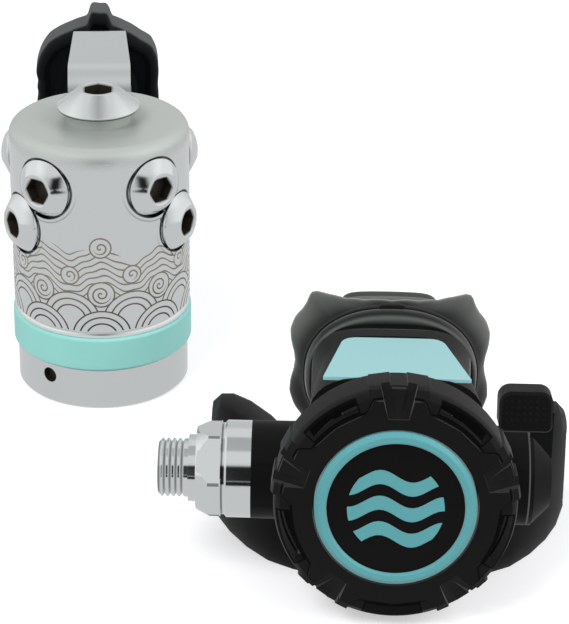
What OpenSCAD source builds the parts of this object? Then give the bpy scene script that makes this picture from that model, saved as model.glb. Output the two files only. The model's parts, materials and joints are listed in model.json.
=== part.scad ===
// Scuba regulator set: a vertical diaphragm first stage with a yoke tank
// fitting, and a second stage. Millimetres, +Z up. The origin is the centre
// of the first stage's flat end cap.

/* [First stage body] */
// Outer diameter of the body
body_d = 50; // [48:0.5:54]
// Height of the body above the clamp's lip
body_h = 53.5; // [52:0.5:60]
// Radius of the body's domed top edge
body_edge = 3.5; // [1:0.5:5]
// Depth of the upper row of ports below the body's top
upper_port_drop = 12.3; // [11.5:0.1:13]
// Distance between the two rows of ports
port_row_gap = 13.4; // [13:0.1:14]
// Turn of the upper front ports from the front
upper_port_turn = 37.5; // [36:0.5:39]
// Turn of the upper rear ports from the front
rear_port_turn = 112.5; // [108:0.5:115]
// Turn of the lower ports from the front
lower_port_turn = 61; // [60:0.5:63]

/* [End cap, ring and clamp] */
// Height of the end cap
cap_h = 12.5; // [11:0.5:15]
// Outer diameter of the end cap
cap_d = 48.6; // [47:0.1:50]
// Diameter of the opening in the end cap
cap_opening_d = 30; // [24:1:34]
// Diameter of a spanner hole
spanner_d = 4.4; // [3:0.1:5]
// Height of the colour ring
ring_h = 10; // [8:0.5:14]
// How far the colour ring stands proud of the body
ring_proud = 0.4; // [0:0.1:1]
// Height of the clamp's bright lip
lip_h = 2; // [1:0.25:3]

/* [Port plugs] */
// Diameter of a port plug's head
plug_head_d = 16.4; // [15:0.1:16.5]
// Height of a port plug's head
plug_head_h = 6; // [5:0.25:7]
// Diameter of a port plug's flat end
plug_flat_d = 9.5; // [9:0.1:11]
// Thread diameter of an upper, low-pressure plug
low_thread_d = 9.52; // [9:0.01:10]
// Thread diameter of a lower, high-pressure plug
high_thread_d = 11.11; // [10.5:0.01:11.5]
// Length of a plug's thread
plug_thread_l = 8; // [6:0.5:9]
// Across flats of a port plug's socket
plug_hex = 6.3; // [5:0.1:7]
// Diameter of the top plug's rim
end_rim_d = 22.8; // [21:0.1:25]
// Diameter of the top plug's flat end
end_flat_d = 10.5; // [10:0.1:12]
// Height of the top plug's cone
end_cone_h = 4.6; // [3:0.1:6]
// Across flats of the top plug's socket
end_hex = 6.9; // [5:0.1:8]

/* [Yoke] */
// Depth of the yoke's axis below the body's top
yoke_drop = 19; // [18:0.5:20]
// Outer height of the yoke's loop
yoke_h = 46; // [44:0.5:50]
// Outer length of the yoke's loop
yoke_l = 43; // [42:0.5:48]
// Thickness of the yoke's arms
yoke_t = 6.5; // [5:0.25:7]
// Width of the yoke at the body
yoke_w = 18; // [17:0.5:22]
// Width of the yoke at its far end
yoke_tip_w = 15.5; // [15:0.5:17]
// Diameter of the yoke screw
screw_d = 12; // [10:0.1:13]
// Lead of the yoke screw's thread
screw_lead = 1.75; // [1:0.25:2]
// Base diameter of the handwheel
knob_d = 40; // [38:1:44]
// Length of the handwheel
knob_l = 20; // [16:0.5:24]

/* [Second stage] */
// Place of the purge ring's centre, to the right
second_x = 69.2; // [67:0.1:78]
// Place of the purge ring's centre, to the front
second_y = -133.9; // [-145:0.1:-125]
// Tilt that turns the cover upwards
second_tilt = 9.5; // [9.5:0.1:11]
// Turn of the second stage, clockwise from above
second_turn = 4.8; // [0:0.1:10]
// Largest diameter of the front cover
cover_d = 57.6; // [57:0.1:59]
// Depth of the front cover
cover_depth = 16; // [15.5:0.1:17]
// Diameter of the accent ring
accent_d = 38.3; // [36:0.1:40]
// Width of the accent ring
accent_w = 2.9; // [2:0.1:4]
// Travel of the purge button
purge_travel = 2.6; // [2:0.1:2.8]
// Number of vents and grip notches
grips = 5; // [3:1:6]

/* [Valve barrel] */
// Outer diameter of the case round the barrel
barrel_case_d = 24; // [23:0.1:26]
// Outer diameter of the valve barrel inside the case
barrel_d = 11; // [10.5:0.1:11.5]
// Depth of the barrel's axis behind the cover's front
barrel_y = 25; // [24.5:0.1:26]
// Outer thread diameter of the hose inlet
inlet_thread_d = 14.29; // [14:0.01:14.6]
// Pitch of the hose inlet's thread
inlet_pitch = 1.411; // [1.2:0.001:1.6]
// Across flats of the inlet's hexagon
inlet_hex = 20.5; // [19:0.1:21]
// Lift of the poppet at full flow
poppet_lift = 1; // [0.8:0.1:1.2]
// Height of the venturi lever above the barrel's axis
venturi_reach = 22.5; // [21.5:0.5:25]

/* [Outlet and exhaust] */
// Width of the outlet neck
neck_w = 40; // [38:0.5:42]
// Height of the outlet neck
neck_h = 26; // [24:0.5:26.5]
// Half the width of the exhaust tee
tee_reach = 45.7; // [42:0.1:48]
// Width of the mouthpiece
mouth_w = 51; // [50:0.5:54]
// Half-height of the mouthpiece's flange
mouth_h = 17.4; // [16.8:0.1:18.5]

/* [Hidden] */
$fn = 64;

// Clearances: pieces of one body, a running fit, and apart on two bodies
fit = 0.05;
run = 0.06;
gap = 0.3;
cut = 1;          // how far a cutter runs past the face it cuts

// Colours
chrome = [0.80, 0.80, 0.83];
satin = [0.72, 0.75, 0.75];
brass = [0.72, 0.60, 0.34];
steel = [0.62, 0.63, 0.65];
black = [0.12, 0.125, 0.135];
rubber = [0.10, 0.10, 0.10];
mint = [0.59, 0.83, 0.80];
teal = [0.38, 0.70, 0.71];
smoke = [0.38, 0.39, 0.37];

// First stage, from the end cap up
body_r = body_d / 2;
cap_r = cap_d / 2;
ring_z = cap_h;
lip_z = ring_z + ring_h;
body_z = lip_z + lip_h;
body_top = body_z + body_h;
cap_lip = 3;                       // end cap's inner lip, under the diaphragm
env_t = 1.6;                       // environmental diaphragm
clamp_z = cap_lip + env_t;         // lower end of the clamp
clamp_spigot_r = cap_r - 2.6;
clamp_bore_r = 15;
clamp_waist_r = body_r - 2.4;      // under the colour ring
spigot_h = 8.5;                    // clamp's thread inside the body
spigot_r = 20;
dia_z = body_z + spigot_h;         // main diaphragm
dia_t = 1.5;
chamber_z = dia_z + dia_t;         // intermediate-pressure chamber
chamber_r = 16;
chamber_h = 8.5;
crown_z = chamber_z + chamber_h;   // orifice web
crown_t = 5.5;
crown_r = 5.5;
valve_z = crown_z + crown_t;       // high-pressure chamber
valve_r = 8;
plug_z = valve_z + 13.5;           // lower end of the end plug
boss_r = 9;
boss_h = 3.5;
upper_port_z = body_top - upper_port_drop;
lower_port_z = upper_port_z - port_row_gap;
UPPER_PORTS = [-rear_port_turn, -upper_port_turn, upper_port_turn,
    rear_port_turn];
LOWER_PORTS = [-lower_port_turn, lower_port_turn];
seat_s = body_r - 1.4;             // spot face of a port, from the axis
port_end = seat_s - plug_thread_l - 3;
oring_groove_r = 7.4;
oring_groove_t = 1.9;
duct_r = 1.5;                      // ducts from the chamber to the ports
duct_s = 13.8;
valve_stroke = 0.8;                // rest is open, as with no pressure

// Spring and transmitter stack in the clamp
adjuster_z = clamp_z + 3.4;
adjuster_h = 4;
carrier_t = 1.7;
carrier_z = dia_z - gap - carrier_t;
spring_z = adjuster_z + adjuster_h;
spring_h = carrier_z - spring_z;
spring_wire = 3;
spring_r = 10.5;
transmit_z = clamp_z + gap;

// Yoke, along +Y on the connector's axis
yoke_z = body_top - yoke_drop;
flat_y = body_r - 2.4;             // machined flat the yoke's boss seats on
yoke_boss_r = 11.6;
yoke_y = body_r + 0.6;             // front of the yoke's base
yoke_base_t = 6.4;
yoke_end = yoke_y + yoke_l;
yoke_far_y = yoke_end - yoke_t - 1.5;   // inside of the far arch
yoke_near_y = yoke_y + yoke_base_t;
yoke_inner_h = yoke_h - 2 * yoke_t;
yoke_corner = 9;
yoke_inner_corner = 4.5;
connector_r = 9;
connector_hex = 23;
connector_hex_t = 5.6;
nose_r = 8.6;
nose_l = 3;
nose_y = yoke_near_y + connector_hex_t + nose_l;
connector_tip = flat_y - 9;
inlet_bore = 4.2;
knob_y = yoke_end + 3.4;
knob_end = knob_y + knob_l;
screw_r = screw_d / 2;
screw_tip = nose_y + 7.5;
screw_head = knob_y + 13;
thread_deep = 0.9;

// Second stage, local: x right, y back from the purge ring, z up
second_z = 31.8;                   // ring's centre above the ground
cover_r = cover_d / 2;
accent_r = accent_d / 2;
button_r = accent_r - accent_w;
cover_hole_r = accent_r + 0.35;
wall = 2;
vent_turn = 360 / grips;
vent_r = 26.4;
vent_w = 2.4;
vent_span = 29;
notch_r = 22;
notch_deep = 6;
flange_y = 4.6;                    // button's flange under the cover
flange_t = 1.4;
plate_y = 12.3;                    // membrane's clamped rim
button_stop_y = flange_y + flange_t + purge_travel + gap;
hub_r = 9.6;                       // spring seat in the retaining ring
button_boss_r = 6;
case_r = cover_r - 2;
case_y = plate_y + 1.9;            // case's front edge, on the rim
case_cavity_r = case_r - 2.2;
case_straight = 20;                // depth where the bowl starts to round
case_depth = 36.5;
disc_y = plate_y + 1.2 + gap;
disc_t = 1;

// Valve barrel, along x
barrel_r = barrel_d / 2;
barrel_case_r = barrel_case_d / 2;
barrel_bore_r = 4.4;
barrel_head_r = 8.3;               // barrel's head in the case's left tube
case_left = -34.4;
case_right = 32;
barrel_left = case_left + 0.1;
spigot_bore_r = 6.4;
spigot_x = -25;                    // end of the inlet fitting's spigot
orifice_x = -13.2;                 // orifice's knife edge
poppet_x = orifice_x + gap;
poppet_l = 5;
guide_x = 6;                       // web that guides the poppet's stem
stem_r = 1.8;
pivot_x = 13.5;                    // lever's pivot
nut_end = pivot_x + 2.9;            // end of the poppet's nut at rest
barrel_right = nut_end + poppet_lift + gap + 1.4;
lever_tip_y = disc_y + disc_t + gap;
lever_t = 1.2;
lever_leg_z = barrel_r + 0.6;
vane_x = barrel_right + 0.6;       // vane's disc past the barrel's end
vane_disc_t = 2.4;
vane_r = 7.6;
shaft_r = 3;
nut_x = -41.7;                     // inlet: nut, hexagon, neck, thread
hex_x = -47.8;
neck_x = -49.7;
inlet_x = -57.1;
inlet_bore_r = 4.1;
nut_r = 11.9;
hub_x = case_right + 0.4;          // venturi lever's disc
hub_t = 5.4;
hub_cone = 4.6;
pad_x = 24.8;
pad_w = 13;
pad_corner = 3;                    // radius of the pad's upper corners
pad_heel = 1.8;                    // and of its lower ones
pad_z = barrel_case_r + 0.5;

// Outlet neck, mouthpiece and exhaust
neck_z = 14;                       // centre of the outlet
deck_front = cover_r - 1.8;        // flat top of the case, at the cover
neck_end = 62;
neck_wall = 2.2;
label_y = 17;
label_l = 33.4;
label_t = 1;
label_slope = -0.9;
sleeve_y = 54.5;                   // front edge of the mouthpiece
mouth_end = 76;                    // end of the mouthpiece's tube
tab_end = 87;
tab_rim = 5;
bridge_h = 15;
exhaust_y = 44.5;                  // centre of the exhaust seat
exhaust_r = 9.5;
exhaust_z = -18.5;
flap_r = exhaust_r - 2.1;
flap_holes = 6;
tee_wall = 1.8;

// ---------------------------------------------------------------- helpers
module on_port(turn, z) {
    rotate([0, 0, turn]) translate([0, 0, z]) rotate([90, 0, 0]) children();
}
module on_yoke_axis() {
    translate([0, 0, yoke_z]) rotate([-90, 0, 0]) children();
}
module second() {
    translate([second_x, second_y, second_z])
        rotate([-second_tilt, 0, -second_turn]) children();
}
// Drawing plane faces the front and heights run back from the ring
module dial() {
    rotate([-90, 0, 0]) children();
}
// Heights run along x on the barrel's axis
module on_barrel(x = 0) {
    translate([x, barrel_y, 0]) rotate([0, 90, 0]) children();
}
module tube(r, bore, h) {
    difference() {
        cylinder(r = r, h = h);
        translate([0, 0, -cut]) cylinder(r = bore, h = h + 2 * cut);
    }
}
module hexagon(flats, h) {
    rotate([0, 0, 30]) cylinder(r = flats / sqrt(3), h = h, $fn = 6);
}
module oring(r, t) {
    rotate_extrude() translate([r, 0]) circle(r = t, $fn = 24);
}
// Points of a superellipse of half-width a and half-height b
function signed_power(v, p) = sign(v) * pow(abs(v), p);
function oval(a, b, power, n = 36) = [for (i = [0:n - 1])
    let (t = 360 * i / n)
    [a * signed_power(cos(t), 2 / power), b * signed_power(sin(t), 2 / power)]];
// Skin over rings of points of equal number, closed by flat ends. The rings
// are taken in the order that turns the faces outwards.
function rings_face_back(r) = let (n = len(r[0]), q = floor(n / 4))
    cross(r[0][q] - r[0][0], r[0][2 * q] - r[0][q]) * (r[1][0] - r[0][0]) > 0;
module loft(given) {
    rings = rings_face_back(given)
        ? [for (k = [len(given) - 1:-1:0]) given[k]] : given;
    n = len(rings[0]);
    last = len(rings) - 1;
    sides = [for (k = [0:last - 1], i = [0:n - 1], half = [0, 1])
        let (a = k * n + i, b = k * n + (i + 1) % n)
        half == 0 ? [a, b, b + n] : [a, b + n, a + n]];
    ends = [[for (i = [n - 1:-1:0]) i], [for (i = [0:n - 1]) last * n + i]];
    polyhedron([for (ring = rings) each ring], concat(sides, ends));
}
// Closed helix of round wire with level ends, standing on z = 0
module spring(r, wire, h, turns, steps = 8, sides = 6) {
    rise = h - wire;
    count = turns * steps;
    rings = [for (k = [0:count])
        let (t = 360 * k / steps, z = wire / 2 + rise * k / count)
        [for (j = [0:sides - 1])
            let (u = 360 * j / sides, q = r + wire / 2 * cos(u))
            [q * cos(t), q * sin(t), z + wire / 2 * sin(u)]]];
    loft(rings);
}

// ------------------------------------------------------------ first stage
module body_outline() {
    polygon([[0, body_z], [body_r, body_z], [body_r, body_top - body_edge],
        for (t = [0:15:90]) [body_r - body_edge + body_edge * cos(t),
            body_top - body_edge + body_edge * sin(t)],
        [0, body_top]]);
}
module port_cut(turn, z, thread_d) {
    on_port(turn, z) {
        translate([0, 0, seat_s])
            cylinder(r = plug_head_d / 2 + 0.5, h = body_r);
        translate([0, 0, seat_s - oring_groove_t])
            cylinder(r = oring_groove_r, h = body_r);
        translate([0, 0, port_end])
            cylinder(r = thread_d / 2 + fit, h = body_r);
    }
}
module first_stage_body() color(chrome) difference() {
    union() {
        rotate_extrude() body_outline();
        translate([0, 0, body_top - cut]) cylinder(r = boss_r, h = boss_h + cut);
    }
    translate([0, 0, body_z - cut])
        cylinder(r = spigot_r + fit, h = spigot_h + dia_t + cut);
    translate([0, 0, chamber_z - cut])
        cylinder(r = chamber_r, h = chamber_h + cut);
    translate([0, 0, crown_z - cut]) cylinder(r = crown_r + fit, h = crown_t);
    translate([0, 0, valve_z - 2 * cut]) cylinder(r = 3.4, h = 3 * cut);
    translate([0, 0, valve_z])
        cylinder(r = valve_r + fit, h = body_top - valve_z + boss_h + cut);
    for (turn = UPPER_PORTS) port_cut(turn, upper_port_z, low_thread_d);
    for (turn = LOWER_PORTS) port_cut(turn, lower_port_z, high_thread_d);
    for (turn = LOWER_PORTS) on_port(turn, lower_port_z)
        translate([0, 0, valve_r - cut]) cylinder(r = duct_r, h = port_end);
    for (turn = UPPER_PORTS)
        rotate([0, 0, abs(turn) < 90 ? turn * 0.64 : turn])
            translate([0, -duct_s, chamber_z + cut])
                cylinder(r = duct_r, h = upper_port_z - chamber_z - cut);
    on_yoke_axis() {
        translate([0, 0, flat_y]) cylinder(r = yoke_boss_r + gap, h = body_r);
        translate([0, 0, connector_tip - cut])
            cylinder(r = connector_r + fit, h = body_r);
        cylinder(r = inlet_bore - 1.2, h = body_r);
    }
}
module plug(thread_d, thread_l) {
    difference() {
        union() {
            translate([0, 0, 0.4]) cylinder(r = plug_head_d / 2, h = 0.5);
            cylinder(r1 = plug_head_d / 2 - 0.4, r2 = plug_head_d / 2, h = 0.4);
            translate([0, 0, 0.9]) cylinder(r1 = plug_head_d / 2 - 0.1,
                r2 = plug_flat_d / 2, h = plug_head_h - 0.9);
            translate([0, 0, -thread_l])
                cylinder(r = thread_d / 2, h = thread_l + 0.1);
        }
        translate([0, 0, plug_head_h - 4.2]) hexagon(plug_hex, 5);
    }
}
module low_pressure_plugs() color(chrome) for (turn = UPPER_PORTS)
    on_port(turn, upper_port_z) translate([0, 0, seat_s])
        plug(low_thread_d, plug_thread_l);
module high_pressure_plugs() color(chrome) for (turn = LOWER_PORTS)
    on_port(turn, lower_port_z) translate([0, 0, seat_s])
        plug(high_thread_d, plug_thread_l);
module port_oring(turn, z, thread_d) {
    room = oring_groove_r - thread_d / 2;
    on_port(turn, z)
        translate([0, 0, seat_s - oring_groove_t / 2])
            oring(thread_d / 2 + room / 2, min(room, oring_groove_t) / 2 - fit);
}
module port_plug_orings() color(rubber) {
    for (turn = UPPER_PORTS) port_oring(turn, upper_port_z, low_thread_d);
    for (turn = LOWER_PORTS) port_oring(turn, lower_port_z, high_thread_d);
}
module end_plug() color(chrome) {
    top = body_top + boss_h;
    difference() {
        union() {
            translate([0, 0, top]) cylinder(r = end_rim_d / 2, h = 0.9);
            translate([0, 0, top + 0.9]) cylinder(r1 = end_rim_d / 2 - 0.2,
                r2 = end_flat_d / 2, h = end_cone_h);
            translate([0, 0, plug_z]) cylinder(r = valve_r, h = top - plug_z);
        }
        translate([0, 0, top + end_cone_h - 4]) hexagon(end_hex, 6);
        translate([0, 0, plug_z - cut]) cylinder(r = 2.5 + run, h = 10);
        translate([0, 0, plug_z - cut]) cylinder(r = 4, h = 4);
        translate([0, 0, plug_z + 6]) rotate_extrude()
            translate([valve_r - 1.4, 0]) square([3, 2]);
    }
}
module end_plug_oring() color(rubber)
    translate([0, 0, plug_z + 7]) oring(valve_r - 0.7, 0.7 - fit / 2);
module colour_ring() color(mint) translate([0, 0, ring_z]) rotate_extrude()
    polygon([[clamp_waist_r + fit, 0], [body_r + ring_proud - 0.6, 0],
        [body_r + ring_proud, 0.6], [body_r + ring_proud, ring_h - 0.6],
        [body_r + ring_proud - 0.6, ring_h], [clamp_waist_r + fit, ring_h]]);
module diaphragm_clamp() color(chrome) rotate_extrude() polygon([
    [clamp_bore_r, clamp_z], [clamp_spigot_r, clamp_z],
    [clamp_spigot_r, ring_z - 1.5], [clamp_waist_r, ring_z],
    [clamp_waist_r, lip_z], [body_r - 0.2, lip_z],
    [body_r - 0.2, body_z - 0.8], [body_r - 1, body_z], [spigot_r, body_z],
    [spigot_r, dia_z], [clamp_bore_r, dia_z]]);
module environmental_cap() color(chrome) difference() {
    rotate_extrude() polygon([[cap_opening_d / 2 + 1, 0], [cap_r - 0.9, 0],
        [cap_r, 0.9], [cap_r, cap_h - 0.4], [cap_r - 0.4, cap_h],
        [clamp_waist_r + fit, cap_h],
        [clamp_spigot_r + fit, cap_h - 1.5 - 2 * fit],
        [clamp_spigot_r + fit, cap_lip], [cap_opening_d / 2, cap_lip],
        [cap_opening_d / 2, 1]]);
    for (turn = [-38, 142]) on_port(turn, cap_h - 3.9)
        translate([0, 0, cap_r - 2]) cylinder(r = spanner_d / 2, h = 5);
}
module environmental_diaphragm() color(rubber)
    translate([0, 0, cap_lip]) cylinder(r = clamp_spigot_r - fit, h = env_t);
module hydrostatic_transmitter() color(black) {
    translate([0, 0, transmit_z + valve_stroke])
        cylinder(r = 13, h = 2);
    translate([0, 0, transmit_z + valve_stroke])
        cylinder(r = 3, h = carrier_z - transmit_z - valve_stroke);
}
module spring_adjuster() color(brass) translate([0, 0, adjuster_z])
    difference() {
        tube(clamp_bore_r - fit, 6, adjuster_h);
        for (turn = [0:90:270]) rotate([0, 0, turn])
            translate([9, -1.5, -cut]) cube([4, 3, 2 * cut]);
    }
module main_spring() color(steel) translate([0, 0, spring_z + fit])
    spring(spring_r, spring_wire, spring_h - 2 * fit, 4);
module spring_carrier() color(brass) translate([0, 0, carrier_z])
    cylinder(r = spring_r + 2, h = carrier_t);
module main_diaphragm() color(rubber)
    translate([0, 0, dia_z]) cylinder(r = spigot_r, h = dia_t);
module valve_lifter() color(steel) {
    translate([0, 0, chamber_z + gap]) cylinder(r = 9, h = 1.5);
    translate([0, 0, chamber_z + gap])
        cylinder(r = 1.2, h = valve_z + 0.8 + gap - chamber_z);
}
module pressure_crown() color(brass) translate([0, 0, crown_z]) difference() {
    union() {
        cylinder(r = crown_r, h = crown_t - cut);
        cylinder(r = 3.2, h = crown_t);
        cylinder(r1 = 3.2, r2 = 2.3, h = crown_t + 0.5);
    }
    translate([0, 0, -cut]) cylinder(r = 1.8, h = crown_t + 3 * cut);
}
module pressure_seat() color(rubber)
    translate([0, 0, valve_z + 0.5 + gap + valve_stroke]) tube(3, 1.3, 1.2);
module pressure_valve() color(brass) {
    z = valve_z + 0.5 + gap + valve_stroke;
    difference() {
        union() {
            translate([0, 0, z]) cylinder(r = 4.4, h = 3.2);
            translate([0, 0, z]) cylinder(r = 2.5, h = plug_z + 4 - z);
        }
        translate([0, 0, z - cut]) cylinder(r = 3 + fit, h = 1.2 + cut);
        translate([0, 0, z]) cylinder(r = 1.2 + fit, h = 1.4);
    }
}
module valve_spring() color(steel) {
    z = valve_z + 0.5 + gap + valve_stroke + 3.2 + fit;
    translate([0, 0, z]) spring(3.4, 0.8, plug_z + 3 - fit - z, 5);
}

// ------------------------------------------------------- yoke and knob
module loop_outline(l, h, corner) {
    translate([corner, -h / 2]) square([l - 2 * corner, h]);
    translate([0, corner - h / 2]) square([l, h - 2 * corner]);
    for (x = [corner, l - corner], y = [corner - h / 2, h / 2 - corner])
        translate([x, y]) circle(r = corner);
}
module side_profile(w) {
    rotate([90, 0, 90]) linear_extrude(height = w, center = true) children();
}
module yoke() color(satin) translate([0, 0, yoke_z]) difference() {
    union() {
        intersection() {
            translate([0, yoke_y, 0]) side_profile(yoke_w)
                loop_outline(yoke_l, yoke_h, yoke_corner);
            linear_extrude(height = yoke_h + cut, center = true)
                polygon([for (s = [1, -1], k = [0:3])
                    let (w = [yoke_w, yoke_w, yoke_tip_w, yoke_tip_w - 3],
                        y = [yoke_y - cut, yoke_near_y, yoke_end - 6,
                            yoke_end + 0.1], i = s > 0 ? k : 3 - k)
                    [s * w[i] / 2, y[i]]]);
        }
        rotate([-90, 0, 0]) translate([0, 0, flat_y])
            cylinder(r = yoke_boss_r, h = yoke_near_y - flat_y);
        rotate([-90, 0, 0]) translate([0, 0, yoke_far_y])
            cylinder(r = screw_r + 3.4, h = yoke_end - yoke_far_y + 1.5);
    }
    translate([0, yoke_near_y, 0]) side_profile(yoke_w + 3 * cut)
        loop_outline(yoke_far_y - yoke_near_y, yoke_inner_h, yoke_inner_corner);
    rotate([-90, 0, 0]) {
        cylinder(r = connector_r + 2 * fit, h = yoke_near_y + cut);
        translate([0, 0, yoke_far_y - cut])
            cylinder(r = screw_r + run, h = yoke_l);
    }
}
module yoke_connector() color(chrome) on_yoke_axis() difference() {
    union() {
        translate([0, 0, connector_tip])
            cylinder(r = connector_r, h = yoke_near_y - connector_tip + 0.1);
        translate([0, 0, yoke_near_y]) intersection() {
            rotate([0, 0, 30]) hexagon(connector_hex, connector_hex_t);
            cylinder(r1 = 15, r2 = 12.4, h = connector_hex_t);
        }
        translate([0, 0, nose_y - nose_l - 0.1])
            cylinder(r = nose_r, h = nose_l + 0.1);
    }
    translate([0, 0, connector_tip - cut])
        cylinder(r = inlet_bore - 1.2, h = nose_y);
    translate([0, 0, connector_tip + 6])
        cylinder(r = inlet_bore, h = nose_y);
    translate([0, 0, nose_y - 1.4]) cylinder(r = inlet_bore + 1.6, h = 3);
    translate([0, 0, flat_y - 2.4]) rotate_extrude()
        translate([connector_r - 1.4, 0]) square([3, 1.9]);
}
module connector_oring() color(rubber) on_yoke_axis()
    translate([0, 0, flat_y - 1.45]) oring(connector_r - 0.68, 0.68);
module inlet_filter() color(brass) on_yoke_axis() {
    l = nose_y - 2.6 - connector_tip - 6 - fit;
    translate([0, 0, connector_tip + 6 + fit]) difference() {
        cylinder(r1 = inlet_bore - 1.6, r2 = inlet_bore - fit, h = l);
        translate([0, 0, 2]) cylinder(r1 = 0.8, r2 = inlet_bore - 1.2, h = l);
    }
}
module filter_clip() color(steel) on_yoke_axis()
    translate([0, 0, nose_y - 2.5]) tube(inlet_bore - fit, 2.9, 1);

module yoke_screw() color(chrome) on_yoke_axis() {
    translate([0, 0, screw_tip]) cylinder(r1 = 1.5, r2 = 4.6, h = 3.2);
    translate([0, 0, screw_tip + 3.1])
        cylinder(r1 = 4.6, r2 = screw_r, h = 1.2);
    translate([0, 0, screw_tip + 4.2])
        cylinder(r = screw_r - thread_deep, h = screw_head - screw_tip - 4.2);
    for (z = [screw_tip + 4.2:screw_lead:knob_y - screw_lead])
        translate([0, 0, z]) rotate_extrude() polygon([
            [0, 0], [screw_r - thread_deep, 0], [screw_r, screw_lead * 0.42],
            [screw_r, screw_lead * 0.58], [screw_r - thread_deep, screw_lead],
            [0, screw_lead]]);
    translate([0, 0, knob_y]) cylinder(r = screw_r, h = screw_head - knob_y);
}
module knob_insert() color(steel) on_yoke_axis() difference() {
    translate([0, 0, knob_y]) cylinder(r = screw_r + 2.6, h = knob_l - 3);
    translate([0, 0, knob_y - cut])
        cylinder(r = screw_r + run, h = screw_head - knob_y + cut + gap);
    translate([0, 0, knob_y]) cylinder(r = 2.5 + fit, h = knob_l);
}
module knob_screw() color(steel) on_yoke_axis() difference() {
    union() {
        translate([0, 0, screw_head + 2 * gap])
            cylinder(r = 2.5, h = knob_end - 3 - screw_head - 2 * gap + 0.1);
        translate([0, 0, knob_end - 3]) cylinder(r = 4.6, h = 2.6);
    }
    translate([0, 0, knob_end - 2]) hexagon(4, 3);
}
// Half the handwheel's outline: turn from its tall nub, and the radius there
// past the base radius; one of the two nubs, then a lobe, then a notch
KNOB = [[0, 6], [7, 5.5], [11, 2.3], [17, 1.2], [34, 0.2], [43, 1.4], [50, 2.1],
    [58, 1.7], [68, 0.2], [82, -1.9], [90, -2.1]];
function knob_radius(t) = knob_d / 2
    + lookup(min(t % 180, 180 - t % 180), KNOB);
module yoke_knob() color(rubber) on_yoke_axis() difference() {
    loft([for (p = [[0, 2.6], [1.6, 0.6], [4, 0], [13, 0], [17, 1.2],
            [knob_l - 0.8, 4.5], [knob_l, 7]])
        [for (t = [0:4:356]) let (r = knob_radius(t) - p[1])
            [r * sin(t), -r * cos(t), knob_y + p[0]]]]);
    translate([0, 0, knob_y - cut])
        cylinder(r = screw_r + 2.6 + fit, h = knob_l - 3 + cut);
    translate([0, 0, knob_end - 3 - cut]) cylinder(r = 4.6 + fit, h = 9);
    translate([0, 0, knob_y - cut]) rotate_extrude()
        translate([screw_r + 5, 0]) square([knob_d / 2 - screw_r - 9, 2.5]);
}

// ------------------------------------------------------------ front cover
module cover_shell() rotate_extrude() polygon([
    [cover_hole_r, 1.4], [24.5, 1.5], [27.2, 2.2], [cover_r - 0.5, 3.4],
    [cover_r, 5.2], [cover_r, cover_depth - 0.6], [cover_r - 0.6, cover_depth],
    [case_r + gap, cover_depth], [case_r + gap, 7.5], [25.6, 5], [24, 4.2],
    [cover_hole_r, 4.2]]);
// Raised front plate that steps round each vent
module cover_plate() linear_extrude(height = 3) difference() {
    polygon([for (k = [0:grips - 1], p = [[-29, 26.6], [-23.5, 26.9],
            [-18.5, 24.4], [0, 24.2], [18.5, 24.4], [23.5, 26.9], [29, 26.6]])
        let (t = (k + 0.5) * vent_turn + p[0] * 5 / grips)
        [p[1] * sin(t), -p[1] * cos(t)]]);
    circle(r = cover_hole_r);
}
// Wedge that deepens outwards from the front plate
module notch_cutter() intersection() {
    translate([0, 0, -cut]) linear_extrude(height = 20)
        polygon([[-2.4, -notch_r], [2.4, -notch_r],
            [5, -cover_r - 3], [-5, -cover_r - 3]]);
    side_profile(14) polygon([[-notch_r, -cut], [-notch_r, 1.4],
        [-cover_r - 3, notch_deep + 2], [-cover_r - 3, -cut]]);
}
// Rib in the middle of a notch, widening outwards
module notch_rib() intersection() {
    linear_extrude(height = 14)
        polygon([[-0.5, -notch_r - 0.6], [0.5, -notch_r - 0.6],
            [1.7, 0.3 - cover_r], [-1.7, 0.3 - cover_r]]);
    side_profile(6) polygon([[-notch_r - 0.6, 1.9],
        [0.3 - cover_r, notch_deep - 2], [0.3 - cover_r, notch_deep + 3],
        [-26, notch_deep], [-notch_r - 0.6, 3.5]]);
}
// Ridge beside a notch that carries the cover's largest radius
module grip_ridge() side_profile(5)
    polygon([[-26.8, 2.2], [-cover_r - 0.1, 3.6], [-cover_r - 0.6, 5.4],
        [-cover_r - 0.6, 14], [-cover_r + 0.3, cover_depth - 0.3],
        [-case_r - 2 * gap, cover_depth - 0.3], [-case_r - 2 * gap, 6]]);
module vent_slot() translate([0, 0, 0.2]) rotate_extrude(angle = vent_span,
    start = 270 - vent_span / 2)
        translate([vent_r - vent_w / 2, 0]) square([vent_w, 9]);
module front_cover() color(black) second() dial() {
    difference() {
        union() {
            cover_shell();
            translate([0, 0, 0.9]) cover_plate();
            for (k = [0:grips - 1], side = [-1, 1])
                rotate([0, 0, k * vent_turn + side * 9]) grip_ridge();
        }
        for (k = [0:grips - 1]) rotate([0, 0, k * vent_turn]) {
            notch_cutter();
            rotate([0, 0, vent_turn / 2]) vent_slot();
        }
        translate([-cover_r - 2, 0, barrel_y]) rotate([0, 90, 0])
            cylinder(r = barrel_case_r + fit, h = 2 * cover_r + 4);
    }
    for (k = [0:grips - 1]) rotate([0, 0, k * vent_turn]) notch_rib();
}

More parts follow.
